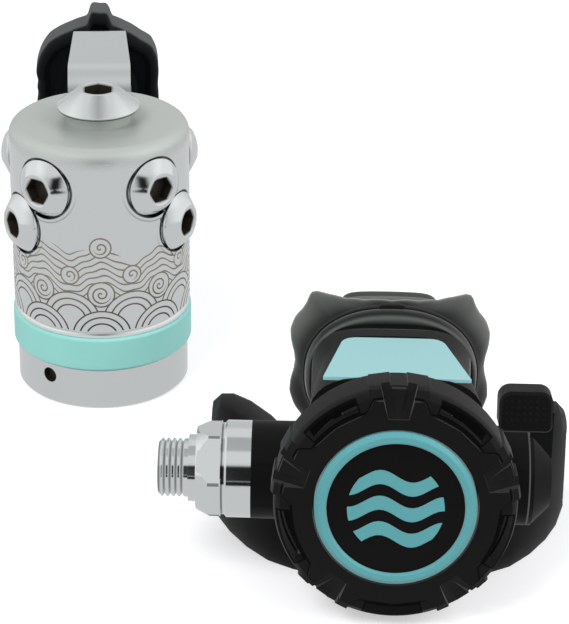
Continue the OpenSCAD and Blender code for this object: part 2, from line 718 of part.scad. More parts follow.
// ---------------------------------------------------- purge and diaphragm
module accent_ring() color(teal) second() dial() rotate_extrude()
    polygon([[button_r, 0.5], [button_r + 0.4, 0], [accent_r - 1.1, 0],
        [accent_r, 1.2], [accent_r, 3.2], [button_r, 3.2]]);
module emblem_waves(r, grow) {
    intersection() {
        circle(r = r);
        for (row = [-1:1]) translate([0, row * 6.4]) polygon(concat(
            [for (x = [-12:1:12]) [x, 1.5 * sin(x * 24) - 1.7 - grow]],
            [for (x = [12:-1:-12]) [x, 1.5 * sin(x * 24) + 1.7 + grow]]));
    }
}
module purge_button() color(black) second() dial() difference() {
    union() {
        translate([0, 0, 0.9]) cylinder(r = button_r - fit, h = 3);
        translate([0, 0, 3.2 + fit]) cylinder(r = accent_r, h = flange_t + 1.2);
        translate([0, 0, flange_y]) cylinder(r = accent_r + 2.2, h = flange_t);
        translate([0, 0, flange_y])
            cylinder(r = button_boss_r, h = plate_y + 0.6 - gap - flange_y);
    }
    translate([0, 0, 0.4]) linear_extrude(height = 1.1)
        emblem_waves(11.4 + fit, fit);
}
module purge_emblem() color(teal) second() dial()
    translate([0, 0, 0.7]) linear_extrude(height = 0.75)
        emblem_waves(11.4, 0);
module purge_spring() color(steel) second() dial()
    translate([0, 0, flange_y + flange_t + fit])
        spring(button_boss_r + 1.2, 0.9,
            plate_y - 2 - flange_y - flange_t - 2 * fit, 2);
module diaphragm_ring() color(black) second() dial() {
    translate([0, 0, plate_y - 2]) tube(case_r, case_cavity_r - 0.6, 2);
    translate([0, 0, plate_y - 2]) tube(hub_r, button_boss_r + gap, 1.2);
    translate([0, 0, button_stop_y]) tube(20.5, 18.5, plate_y - 1 - button_stop_y);
    for (k = [0:grips - 1]) rotate([0, 0, k * vent_turn])
        translate([-1.2, hub_r - 0.6, plate_y - 2])
            cube([2.4, case_cavity_r - hub_r + 1.2, 1.2]);
}
module diaphragm() color(rubber) second() dial() {
    translate([0, 0, plate_y]) rotate_extrude() polygon([[0, 0.6], [14, 0.6],
        [16.5, 0.1], [20, 0.1], [22, 0.6], [case_cavity_r - 0.2, 0.6],
        [case_cavity_r - 0.2, 0], [case_r - fit, 0], [case_r - fit, 1.9],
        [case_cavity_r - 0.2, 1.9], [case_cavity_r - 0.2, 1.2], [22, 1.2],
        [20, 0.8], [16.5, 0.8], [14, 1.2], [0, 1.2]]);
}
module diaphragm_disc() color(steel) second() dial()
    translate([0, 0, disc_y]) cylinder(r = 12, h = disc_t);
// Leg and foot of the lever in plan, beside the barrel
module lever_leg() linear_extrude(height = 1) polygon([
    [-1.5, lever_tip_y], [1.5, lever_tip_y], [7, 18.2], [11, 20.4],
    [pivot_x + 1.2, barrel_y - 1.4], [pivot_x + 1.2, barrel_y],
    [pivot_x - 1.2, barrel_y], [pivot_x - 1.3, barrel_y - 0.9],
    [10, 22], [6, 19.6], [1.5, lever_tip_y + 2], [-1.5, lever_tip_y + lever_t]]);
module demand_lever() color(steel) second() {
    for (side = [-1, 1]) {
        translate([0, 0, side * (lever_leg_z + 0.5) - 0.5]) lever_leg();
        translate([pivot_x, barrel_y, side > 0 ? 2.3 : -lever_leg_z - 0.5])
            cylinder(r = 1.2, h = lever_leg_z - 1.8);
    }
    translate([-1.5, lever_tip_y, -lever_leg_z - 0.5])
        cube([3, lever_t, 2 * lever_leg_z + 1]);
}

// -------------------------------------------------- second stage's case
function neck_ring(y, zc, a, b, power = 4) =
    [for (p = oval(a, b, power)) [p[0], y, zc + p[1]]];
function neck_section(y, a, top, bottom, power = 4) =
    neck_ring(y, (top + bottom) / 2, a, (top - bottom) / 2, power);
NECK = let (a = neck_w / 2, t = neck_z + neck_h / 2, b = neck_z - neck_h / 2) [
    [cover_depth + gap, a + 1.5, deck_front, -12],
    [26, a + 0.6, deck_front - 0.1, -9], [36, a - 0.6, deck_front - 0.3, -5],
    [46, a - 1.6, deck_front - 0.4, b - 1.4], [54, a - 0.2, t, b],
    [neck_end, a, t, b]];
module neck(inset, from) {
    loft([for (k = [from:len(NECK) - 1]) let (s = NECK[k],
        e = k == len(NECK) - 1 && inset > 0 ? cut : 0)
        neck_section(s[0] + e, s[1] - inset, s[2] - inset, s[3] + inset)]);
}
module bowl(grow, start, depth) dial() rotate_extrude() polygon(concat(
    [[0, start], [case_r + grow, start]],
    [for (t = [0:10:80]) [(case_r + grow) * pow(cos(t), 0.6),
        case_straight + (depth - case_straight) * pow(sin(t), 0.9)]],
    [[0, depth]]));
module label_outline(grow) {
    back = label_l;
    polygon([for (p = [[-17.6, 0], [-12.9, back - 4], [-12.2, back - 2.2],
            [-11.1, back - 0.8], [-9.4, back - 0.1], [0, back], [9.4, back - 0.1],
            [11.1, back - 0.8], [12.2, back - 2.2], [12.9, back - 4], [17.6, 0]])
        [p[0] + sign(p[0]) * grow, p[1] + (p[1] > 0 ? grow : -grow)]]);
}
module on_deck() translate([0, label_y, deck_front - 0.05])
    rotate([label_slope, 0, 0]) children();
module second_stage_case() color(black) second() difference() {
    union() {
        bowl(0, case_y, case_depth);
        neck(0, 0);
        difference() {
            on_barrel(case_left)
                cylinder(r = barrel_case_r, h = case_right - case_left);
            dial() cylinder(r = case_r + gap, h = case_y);
        }
        translate([0, exhaust_y, exhaust_z])
            cylinder(r = exhaust_r, h = neck_z - exhaust_z - 10);
    }
    difference() {
        bowl(-2.2, case_y - cut, case_depth - 2.2);
        on_barrel(vane_x + vane_disc_t + gap)
            cylinder(r = shaft_r + 3, h = 10);
    }
    neck(neck_wall, 1);
    translate([0, exhaust_y, exhaust_z + 2.2])
        cylinder(r = exhaust_r - 2.2, h = 26);
    for (k = [1:flap_holes]) translate([0, exhaust_y, exhaust_z - cut])
        rotate([0, 0, 360 * k / flap_holes]) translate([4.6, 0])
            cylinder(r = 1.7, h = 5);
    translate([0, exhaust_y, exhaust_z - cut]) cylinder(r = 1.5 + fit, h = 5);
    on_barrel(case_left - cut) cylinder(r = barrel_head_r + fit, h = 13);
    on_barrel(case_left) cylinder(r = barrel_r + fit, h = 20);
    on_barrel(vane_x) cylinder(r = shaft_r + run, h = 20);
    on_barrel(-3) cylinder(r = vane_r + gap, h = vane_x + vane_disc_t + gap + 3);
    on_deck() translate([0, 0, -label_t - fit])
        linear_extrude(height = 5) label_outline(fit);
}
module top_label() color(mint) second() on_deck()
    translate([0, 0, -label_t]) linear_extrude(height = label_t)
        label_outline(0);
module exhaust_valve() color(rubber) second()
    translate([0, exhaust_y, exhaust_z]) {
        translate([0, 0, -1.1]) cylinder(r = flap_r, h = 1);
        translate([0, 0, -0.2]) cylinder(r = 1.5, h = 3.4);
        translate([0, 0, 2.3]) cylinder(r1 = 2.4, r2 = 1.4, h = 1.6);
    }

// ----------------------------------------------------------- valve barrel
module valve_barrel() color(chrome) second() difference() {
    union() {
        on_barrel(barrel_left) cylinder(r = barrel_head_r, h = 9.8);
        on_barrel(barrel_left) cylinder(r = barrel_r, h = barrel_right - barrel_left);
    }
    on_barrel(barrel_left - cut)
        cylinder(r = spigot_bore_r + fit, h = spigot_x - barrel_left + cut + fit);
    on_barrel(spigot_x) cylinder(r = barrel_bore_r + fit, h = guide_x - spigot_x);
    on_barrel(guide_x) cylinder(r = stem_r + run, h = 3);
    on_barrel(guide_x + 1.4)
        cylinder(r = barrel_bore_r, h = barrel_right - guide_x - 2.8);
    translate([pivot_x - 2.2, barrel_y - 2.6, -barrel_r - cut])
        cube([4.4, 5.2, 2 * barrel_r + 2 * cut]);
    translate([-11.5, barrel_y, -2.5]) cube([9, 10, 5]);
}
module orifice() color(brass) second() difference() {
    union() {
        on_barrel(spigot_x + fit) cylinder(r = barrel_bore_r, h = 4.4);
        on_barrel(spigot_x + 2) cylinder(r = 3, h = orifice_x - spigot_x - 2.6);
        on_barrel(orifice_x - 0.7) cylinder(r1 = 3, r2 = 2.1, h = 0.7);
    }
    on_barrel(spigot_x - cut) cylinder(r = 1.6, h = 16);
    on_barrel(spigot_x + 1.6) rotate_extrude()
        translate([barrel_bore_r - 1, 0]) square([3, 1.5]);
}
module orifice_oring() color(rubber) second()
    on_barrel(spigot_x + 2.35) oring(barrel_bore_r - 0.5, 0.48);
module poppet_seat() color(rubber) second()
    on_barrel(poppet_x) cylinder(r = 2.9, h = 1.5);
module poppet() color(brass) second() difference() {
    union() {
        on_barrel(poppet_x) cylinder(r = 3.7, h = poppet_l);
        on_barrel(poppet_x + 2)
            cylinder(r = stem_r, h = nut_end - poppet_x - 2);
        on_barrel(nut_end - 1.2) hexagon(5.4, 1.2);
    }
    on_barrel(poppet_x - cut) cylinder(r = 2.9 + fit, h = 1.5 + cut + fit);
}
module poppet_spring() color(steel) second() on_barrel(poppet_x + poppet_l + fit)
    spring(2.9, 0.8, guide_x - poppet_x - poppet_l - 2 * fit, 6);
module thread_grooves(x0, x1, r, pitch) {
    deep = 0.55 * pitch;
    for (k = [0:floor((x1 - x0) / pitch) - 1])
        on_barrel(x0 + (k + 0.5) * pitch) rotate_extrude() polygon([
            [r - deep, 0], [r + 0.2, -0.44 * pitch], [r + 0.2, 0.44 * pitch]]);
}
module inlet_fitting() color(chrome) second() {
    r = inlet_thread_d / 2;
    difference() {
        union() {
            on_barrel(inlet_x) cylinder(r1 = r - 0.9, r2 = r, h = 0.9);
            on_barrel(inlet_x + 0.89) cylinder(r = r, h = 7.2);
            on_barrel(neck_x) cylinder(r = 8.2, h = hex_x - neck_x + 1);
            intersection() {
                on_barrel(hex_x) hexagon(inlet_hex, nut_x - hex_x);
                on_barrel(hex_x - 0.01)
                    cylinder(r1 = inlet_hex / 2 - 0.2, r2 = inlet_hex / 2 + 3,
                        h = nut_x - hex_x + 0.1);
            }
            on_barrel(nut_x - 0.1) cylinder(r = nut_r - 0.7, h = 1.1);
            on_barrel(nut_x + 0.9) cylinder(r1 = nut_r - 0.5, r2 = nut_r, h = 0.5);
            on_barrel(nut_x + 1.4)
                cylinder(r = nut_r, h = case_left - nut_x - 1.4);
            on_barrel(case_left - 1)
                cylinder(r = spigot_bore_r, h = spigot_x - case_left + 1);
        }
        on_barrel(inlet_x - cut) cylinder(r = inlet_bore_r, h = 14);
        on_barrel(inlet_x + 12.99) cylinder(r1 = inlet_bore_r, r2 = 3, h = 1.1);
        on_barrel(inlet_x - cut) cylinder(r = 3, h = 40);
        on_barrel(spigot_x - 3.5) rotate_extrude()
            translate([spigot_bore_r - 1, 0]) square([3, 1.5]);
        thread_grooves(inlet_x + 0.9, inlet_x + 7.2, r, inlet_pitch);
    }
}
module inlet_oring() color(rubber) second()
    on_barrel(spigot_x - 2.75) oring(spigot_bore_r - 0.5, 0.48);
// Conical hub over the barrel's end, with an arm up to a thumb pad
module venturi_lever() color(black) second() {
    on_barrel(hub_x) cylinder(r = barrel_case_r, h = hub_t - hub_cone + 0.1);
    on_barrel(hub_x + hub_t - hub_cone)
        cylinder(r1 = barrel_case_r, r2 = barrel_case_r - hub_cone, h = hub_cone);
    hull() for (z = [0, venturi_reach - 5])
        translate([hub_x, barrel_y - 4.6 + z / 20, z])
            cube([hub_t - 0.1 + z / 60, 8.4 - z / 20, 0.1]);
    hull() for (side = [0, 1], r = [pad_heel, pad_corner])
        translate([side == 0 ? pad_x + r : pad_x + pad_w - r,
            barrel_y - (r == pad_corner ? 3.8 : 4.6),
            r == pad_corner ? venturi_reach - r : pad_z + r]) rotate([-90, 0, 0]) {
                cylinder(r = r - 0.6, h = 7.8, $fn = 32);
                translate([0, 0, 0.8]) cylinder(r = r, h = 6.2, $fn = 32);
            }
    on_barrel(vane_x + vane_disc_t)
        cylinder(r = shaft_r, h = hub_x - vane_x - vane_disc_t + 0.1);
}
module venturi_vane() color(brass) second() {
    on_barrel(vane_x) cylinder(r = vane_r, h = vane_disc_t - fit);
    on_barrel(-2) rotate_extrude(angle = 44, start = 113)
        translate([vane_r - 1, 0]) square([1, vane_x + 2 + 0.1]);
}

// -------------------------------------------------- exhaust and mouthpiece
function tee_section(x, y0, y1, z0, z1, inset) =
    [for (p = oval((y1 - y0) / 2 - inset, (z1 - z0) / 2 - inset, 3, 32))
        [x, (y0 + y1) / 2 + p[0], (z0 + z1) / 2 + p[1]]];
TEE = [[0, 24, 59, -32, -12], [0.36, 24, 60, -32, -10], [0.52, 25, 63, -31.4, -2],
    [0.66, 28, 67, -30.6, 3.4], [0.78, 34, 70, -29.4, 6], [0.88, 41, 72, -27.6, 6.8],
    [0.95, 48, 73, -25.4, 5.8], [1, 56, 74, -22.5, 2.6]];
module tee_duct(inset, past) {
    loft([for (k = [-7:7]) let (s = TEE[abs(k)],
        e = abs(k) == 7 ? past * sign(k) : 0)
        tee_section(sign(k) * s[0] * tee_reach + e, s[1], s[2], s[3], s[4],
            inset)]);
}
module above_ground(h) difference() {
    children();
    rotate([second_tilt, 0, 0]) translate([-100, -100, -second_z - 60 + h])
        cube([200, 300, 60]);
}
module exhaust_tee() color(black) second() difference() {
    above_ground(0) tee_duct(0, 0);
    above_ground(tee_wall) tee_duct(tee_wall, cut);
    bowl(0.2, 10, case_depth + 0.2);
    neck(-0.2, 0);
    on_barrel(-60) cylinder(r = barrel_case_r + 2 * gap, h = 120);
    translate([0, exhaust_y, exhaust_z - fit])
        cylinder(r = exhaust_r + fit, h = 40);
}
// Ring of the mouthpiece: an oval whose four corners rise by lift
function mouth_ring(y, a, b, lift) = [for (p = oval(a, b, 2.8, 48))
    let (corner = max(0, 1 - pow((abs(p[0]) / a - 0.8) / 0.3, 2)))
    [p[0], y, neck_z + p[1] + sign(p[1]) * lift * corner]];
MOUTH = let (a = mouth_w / 2, b = mouth_h) [[sleeve_y, a - 3.7, b - 2, 0],
    [sleeve_y + 4.4, a - 3.7, b - 2, 0], [60.4, a - 2.4, b - 1, 0.4],
    [62.6, a, b - 0.4, 1.2], [65.4, a, b, 2.2], [68, a - 1.2, b - 0.8, 2.2],
    [70.5, a - 5.5, b - 4.5, 0.8], [73, a - 7, b - 8, 0],
    [mouth_end, a - 7.5, b - 9, 0]];
// Tongue the teeth close on, with a rim behind them
module bite_tab() {
    hull() for (y = [mouth_end - 5, tab_end - 2], x = [14.5, 19])
        translate([x - (y - mouth_end) / 12, y, neck_z - 1.8])
            cylinder(r = 2.4, h = 3.6, $fn = 24);
    hull() for (x = [13, 18], z = [-1, 1])
        translate([x, tab_end, neck_z + z * tab_rim - 0.8])
            cylinder(r = 1.3, h = 1.6, $fn = 24);
}
// Thin arch between the tongues, against the roof of the mouth
module palate_bridge() translate([0, tab_end, neck_z]) rotate([90, 0, 0])
    linear_extrude(height = tab_end - mouth_end - 1) difference() {
        scale([14.5, bridge_h]) circle(r = 1);
        scale([12.9, bridge_h - 1.5]) circle(r = 1);
        translate([-20, -20]) square([40, 20]);
    }
module mouthpiece() color(smoke) second() {
    difference() {
        loft([for (m = MOUTH) mouth_ring(m[0], m[1], m[2], m[3])]);
        loft([for (m = [[sleeve_y - cut, neck_w / 2 + 0.1, neck_h / 2 + 0.1, 4],
                [neck_end + 0.2, neck_w / 2 + 0.1, neck_h / 2 + 0.1, 4],
                [65, 17, 10, 3], [70, 14.5, 6, 3], [mouth_end + cut, 14.5, 5.5, 3]])
            neck_ring(m[0], neck_z, m[1], m[2], m[3])]);
    }
    bite_tab();
    mirror([1, 0, 0]) bite_tab();
    palate_bridge();
}
module strap_ring(grow, y0, y1) loft([for (y = [y0, y1])
    mouth_ring(y, mouth_w / 2 - 3.7 + grow, mouth_h - 2 + grow, 0)]);
module mouthpiece_strap() color(black) second() difference() {
    union() {
        strap_ring(0.9, sleeve_y + 1, sleeve_y + 3.8);
        translate([-4, sleeve_y + 0.7, neck_z + mouth_h - 2.5]) cube([8, 3.4, 2.2]);
    }
    strap_ring(fit, sleeve_y, sleeve_y + 5);
}

first_stage_body();
end_plug();
end_plug_oring();
low_pressure_plugs();
high_pressure_plugs();
port_plug_orings();
colour_ring();
diaphragm_clamp();
environmental_cap();
environmental_diaphragm();
hydrostatic_transmitter();
main_spring();
spring_adjuster();
spring_carrier();
main_diaphragm();
valve_lifter();
pressure_crown();
pressure_valve();
pressure_seat();
valve_spring();
yoke();
yoke_connector();
connector_oring();
inlet_filter();
filter_clip();
yoke_screw();
yoke_knob();
knob_insert();
knob_screw();
front_cover();
purge_button();
accent_ring();
purge_emblem();
purge_spring();
diaphragm_ring();
diaphragm();
diaphragm_disc();
demand_lever();
second_stage_case();
top_label();
valve_barrel();
orifice();
orifice_oring();
poppet();
poppet_seat();
poppet_spring();
inlet_fitting();
inlet_oring();
venturi_lever();
venturi_vane();
exhaust_valve();
exhaust_tee();
mouthpiece();
mouthpiece_strap();
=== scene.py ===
"""Looks of a scuba regulator set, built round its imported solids.

Metres, +Z up, the first stage's end cap centred on the origin. The second
stage's pieces are worked out in its own frame, in millimetres: x to the
right, y back from the purge ring, z up, and placed by on_second().
"""

import json
import math

import bmesh
import bpy
import numpy as np
from mathutils import Euler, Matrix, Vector

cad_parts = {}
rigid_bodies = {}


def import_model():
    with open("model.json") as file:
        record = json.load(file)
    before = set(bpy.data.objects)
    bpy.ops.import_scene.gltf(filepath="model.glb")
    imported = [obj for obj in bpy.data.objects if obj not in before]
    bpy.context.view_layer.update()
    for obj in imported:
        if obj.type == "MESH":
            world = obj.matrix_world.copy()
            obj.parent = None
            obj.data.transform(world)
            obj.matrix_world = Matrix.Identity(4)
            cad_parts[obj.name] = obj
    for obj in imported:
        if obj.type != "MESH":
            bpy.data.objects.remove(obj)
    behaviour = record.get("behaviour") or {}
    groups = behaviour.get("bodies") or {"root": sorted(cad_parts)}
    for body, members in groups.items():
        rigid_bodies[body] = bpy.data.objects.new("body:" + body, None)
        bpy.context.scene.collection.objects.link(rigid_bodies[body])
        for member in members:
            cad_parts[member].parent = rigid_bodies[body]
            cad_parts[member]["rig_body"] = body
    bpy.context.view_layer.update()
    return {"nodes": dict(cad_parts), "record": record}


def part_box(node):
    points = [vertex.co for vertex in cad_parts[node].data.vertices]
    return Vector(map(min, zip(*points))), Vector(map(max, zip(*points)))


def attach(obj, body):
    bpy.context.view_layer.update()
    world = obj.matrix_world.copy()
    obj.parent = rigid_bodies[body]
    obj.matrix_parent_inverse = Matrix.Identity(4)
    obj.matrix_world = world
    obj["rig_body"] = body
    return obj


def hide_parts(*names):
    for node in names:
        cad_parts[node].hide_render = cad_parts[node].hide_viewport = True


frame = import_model()
NODES = frame["nodes"]

MM = 0.001

# Second stage's frame
SECOND_PLACE = Vector((0.0692, -0.1339, 0.0318))
SECOND_EULER = Euler((math.radians(-9.5), 0, math.radians(-4.8)))
SECOND_TURN = np.array(SECOND_EULER.to_matrix())

# First stage's heights, from its solids
RING_LOW, RING_HIGH = (corner.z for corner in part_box("colour_ring"))
BODY_LOW, BODY_HIGH = (corner.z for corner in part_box("first_stage_body"))
BODY_R = 0.025
CAP_R = 0.0243

# Ports: turn from the front and height of the axis, the same on both sides
PORT_HIGH, PORT_LOW = BODY_HIGH - 0.0158, BODY_HIGH - 0.0292
PORTS = ((37.5, PORT_HIGH), (112.5, PORT_HIGH), (61, PORT_LOW))
TOP_RIM_R = 11.4
KNOB_AXIS = 0.059
SPANNER_HOLES = ((-38, 0.0086), (142, 0.0086))
SPANNER_HOLE_R = 0.00225

# Second stage's sizes, in millimetres
NECK_Z = 14
BARREL_Y = 25
VENTS = 5
PLATE_R = 24.35


def rgb(red, green, blue, alpha=1.0):
    """A display colour of 0-255 parts as linear light."""
    def linear(part):
        part /= 255
        return part / 12.92 if part <= 0.04045 else ((part + 0.055) / 1.055) ** 2.4
    return (linear(red), linear(green), linear(blue), alpha)


def dimmed(colour, share):
    """A colour with its three parts times a share."""
    return tuple(part * share for part in colour[:3]) + (1,)


# ------------------------------------------------------------ shader maths
class Val:
    """A socket's value; Python's operators on it add Math nodes."""

    def __init__(self, paint, out):
        self.paint, self.out = paint, out

    def math(self, operation, *others, clamp=False):
        made = self.paint.node("ShaderNodeMath",
                               {"operation": operation, "use_clamp": clamp},
                               dict(enumerate((self, *others))))
        return Val(self.paint, made.outputs[0])

    def flipped(self, operation, other):
        made = self.paint.node("ShaderNodeMath", {"operation": operation},
                               {0: other, 1: self})
        return Val(self.paint, made.outputs[0])

    def __add__(self, other): return self.math("ADD", other)
    def __radd__(self, other): return self.math("ADD", other)
    def __sub__(self, other): return self.math("SUBTRACT", other)
    def __rsub__(self, other): return self.flipped("SUBTRACT", other)
    def __mul__(self, other): return self.math("MULTIPLY", other)
    def __rmul__(self, other): return self.math("MULTIPLY", other)
    def __truediv__(self, other): return self.math("DIVIDE", other)
    def __rtruediv__(self, other): return self.flipped("DIVIDE", other)
    def __neg__(self): return self.math("MULTIPLY", -1.0)
    def __abs__(self): return self.math("ABSOLUTE")
    def __gt__(self, other): return self.math("GREATER_THAN", other)
    def __lt__(self, other): return self.math("LESS_THAN", other)

    def sin(self): return self.math("SINE")
    def cos(self): return self.math("COSINE")
    def sqrt(self): return self.math("SQRT")
    def fract(self): return self.math("FRACT")
    def atan2(self, other): return self.math("ARCTAN2", other)
    def max(self, other): return self.math("MAXIMUM", other)

    def ramp(self, low, high):
        """0 below low, 1 above high, straight between; falls if low > high."""
        return (self - low).math("DIVIDE", high - low, clamp=True)


class Paint:
    """A material's node tree, with one method that adds any node."""

    def __init__(self, name, world=False):
        self.made = (bpy.data.worlds if world else bpy.data.materials).new(name)
        self.made.use_nodes = True
        self.tree = self.made.node_tree
        self.tree.nodes.clear()

    def node(self, kind, settings=None, sockets=None):
        """Adds a node: its settings first, then values or links by socket."""
        made = self.tree.nodes.new(kind)
        for name, value in (settings or {}).items():
            if name == "stops":
                ramp = made.color_ramp
                while len(ramp.elements) < len(value):
                    ramp.elements.new(1)
                for element, (place, colour) in zip(ramp.elements, value):
                    element.position, element.color = place, colour
            else:
                setattr(made, name, value)
        for name, value in (sockets or {}).items():
            self.feed(made.inputs[name], value)
        return made

    def feed(self, socket, value):
        if isinstance(value, Val):
            value = value.out
        if isinstance(value, bpy.types.NodeSocket):
            self.tree.links.new(value, socket)
        else:
            socket.default_value = value

    def place(self):
        """Object coordinates as three values and as a vector socket."""
        out = self.node("ShaderNodeTexCoord").outputs["Object"]
        split = self.node("ShaderNodeSeparateXYZ", sockets={0: out})
        return [Val(self, split.outputs[k]) for k in range(3)], out

    def second_place(self):
        """The same in the second stage's own frame, in millimetres."""
        out = self.node("ShaderNodeTexCoord").outputs["Object"]
        moved = self.node("ShaderNodeMapping", {"vector_type": "TEXTURE"}, {
            "Vector": out, "Location": SECOND_PLACE, "Rotation": SECOND_EULER,
            "Scale": (MM, MM, MM)}).outputs[0]
        split = self.node("ShaderNodeSeparateXYZ", sockets={0: moved})
        return [Val(self, split.outputs[k]) for k in range(3)], out

    def attribute(self, name):
        made = self.node("ShaderNodeAttribute", {"attribute_name": name})
        return Val(self, made.outputs["Fac"])

    def noise(self, vector, scale, detail=4.0, rough=0.55, squash=(1, 1, 1)):
        moved = self.node("ShaderNodeVectorMath", {"operation": "MULTIPLY"},
                          {0: vector, 1: squash})
        made = self.node("ShaderNodeTexNoise", {}, {
            "Vector": moved.outputs[0], "Scale": scale, "Detail": detail,
            "Roughness": rough})
        return Val(self, made.outputs[0])

    def mix(self, factor, first, second):
        """first where factor is 0 and second where it is 1."""
        made = self.node("ShaderNodeMix", {"data_type": "RGBA"}, {
            0: factor, 6: first, 7: second})
        return made.outputs[2]

    def bump(self, height, depth, strength=1.0):
        made = self.node("ShaderNodeBump", {}, {
            "Height": height, "Distance": depth, "Strength": strength})
        return made.outputs[0]

    def finish(self, shader):
        self.node("ShaderNodeOutputMaterial", {}, {"Surface": shader})
        return self.made

    def surface(self, **sockets):
        """A Principled shader as the material's surface."""
        named = {name.replace("_", " "): value for name, value in sockets.items()}
        made = self.node("ShaderNodeBsdfPrincipled", {}, named)
        return self.finish(made.outputs[0])


# --------------------------------------------------------------- materials
WHITE_CHROME = (0.775, 0.803, 0.808, 1)
SOCKET_BROWN = rgb(43, 37, 30)


def in_bore(x, y, z, turn, height, radius, face):
    """1 inside a round bore that enters at a turn from the front, below its
    face."""
    sine, cosine = math.sin(math.radians(turn)), math.cos(math.radians(turn))
    along = x * sine - y * cosine
    across = x * cosine + y * sine
    rise = z - height
    reach = (across * across + rise * rise).sqrt()
    return (reach < radius) * (along < face) * (along > 0.0)


def polished_chrome(name="polished_chrome", rough=0.07, holes=()):
    """Mirror plating with faint polishing waves and fine dust, and brown,
    unplated holes."""
    paint = Paint(name)
    (x, y, z), where = paint.place()
    waves = paint.noise(where, 90, detail=2)
    dust = paint.noise(where, 2600, detail=2)
    tone = paint.mix(paint.noise(where, 40), WHITE_CHROME, (0.73, 0.755, 0.76, 1))
    dark = 0.0
    for turn, height, radius, face in holes:
        dark = in_bore(x, y, z, turn, height, radius, face).max(dark)
    if holes:
        tone = paint.mix(dark, tone, SOCKET_BROWN)
    return paint.surface(
        Base_Color=tone, Metallic=1.0 - dark * 0.7,
        Roughness=rough + waves * 0.05 + dust.ramp(0.62, 0.75) * 0.12 + dark * 0.4,
        Normal=paint.bump(waves, 0.00002))


def fitting_chrome():
    """The inlet's mirror plating, dull inside its bore; painted shade darkens the
    bore, the thread's roots, the hexagon's corners and the seam behind it."""
    paint = Paint("fitting_chrome")
    (x, y, z), where = paint.second_place()
    waves = paint.noise(where, 90, detail=2)
    back = y - BARREL_Y
    reach = (back * back + z * z).sqrt()
    # Painted shade: greyer in the thread's roots, at the hexagon's corners and in the
    # seam behind it, and dark inside the bore
    bore = reach < 4.3
    root = reach.ramp(7.05, 6.5) * (reach > 5.5) * (x < -46)
    corner = (reach > 11.6) * (x > -47.4) * (x < -42.0)
    seam = abs(x + 41.45).ramp(0.3, 0.2) * (reach > 9)
    lines = root.max(corner.max(seam) * 0.9)
    plating = paint.mix(lines * 0.8, WHITE_CHROME, rgb(70, 77, 79))
    return paint.surface(
        Base_Color=paint.mix(bore * 0.85, plating, rgb(34, 35, 36)),
        Metallic=1.0 - bore * 0.5, Roughness=0.08 + waves * 0.05 + bore * 0.4,
        Normal=paint.bump(waves, 0.00002))


def plug_chrome():
    """The plugs' plating, with the brown of their sockets and painted shade
    under the top plug's rim, both by attribute.
    """
    paint = Paint("plug_chrome")
    _, where = paint.place()
    waves = paint.noise(where, 90, detail=2)
    # The attribute carries the sockets' brown and the painted shade under the top
    # plug's rim
    dark = paint.attribute("tint")
    return paint.surface(
        Base_Color=paint.mix(dark, WHITE_CHROME, SOCKET_BROWN),
        Metallic=1.0 - dark * 0.85, Roughness=0.12 + waves * 0.05 + dark * 0.4,
        Normal=paint.bump(waves, 0.00002))


def satin_chrome(name="satin_chrome", rough=0.30, tone=(0.67, 0.70, 0.69, 1)):
    """Bead-blasted plating: soft reflections over a fine grain."""
    paint = Paint(name)
    _, where = paint.place()
    grain = paint.noise(where, 5200, detail=2)
    clouds = paint.noise(where, 45)
    return paint.surface(
        Base_Color=paint.mix(clouds, tone, dimmed(tone, 0.95)),
        Metallic=1.0, Roughness=rough + clouds * 0.06,
        Normal=paint.bump(grain, 0.000012))


def line_at(distance, spacing, half=0.23):
    """1 on lines at whole multiples of a spacing, all in millimetres."""
    off = abs((distance / spacing + 0.5).fract() - 0.5) * spacing
    return off.ramp(half + 0.06, half - 0.06)


def over(below, above, cover):
    """Line masks where the upper motif hides the one behind it."""
    return below * (1 - cover) + above * cover


def painted_plug_shade(x, y, z):
    """1 where shade is painted in the gap round each plug's rim, and less
    where a faint shaded edge of a spot face is painted below the plug."""
    from_axis = (x * x + y * y).sqrt() / MM
    gap = abs(from_axis - TOP_RIM_R - 0.1).ramp(0.5, 0.25)
    gap = gap * (z > BODY_HIGH - 0.0004) * 0.8
    for turn, height in PORTS:
        sine, cosine = math.sin(math.radians(turn)), math.cos(math.radians(turn))
        side, rise = (abs(x) * cosine + y * sine) / MM, (z - height) / MM
        reach = (side * side + rise * rise).sqrt()
        arc = abs(reach - 9.7).ramp(0.3, 0.1) * rise.ramp(0, -7) * 0.4
        ring = abs(reach - 8.5).ramp(0.45, 0.2).max(arc)
        gap = (ring * (abs(x) * sine - y * cosine > 0.01)).max(gap)
    return gap


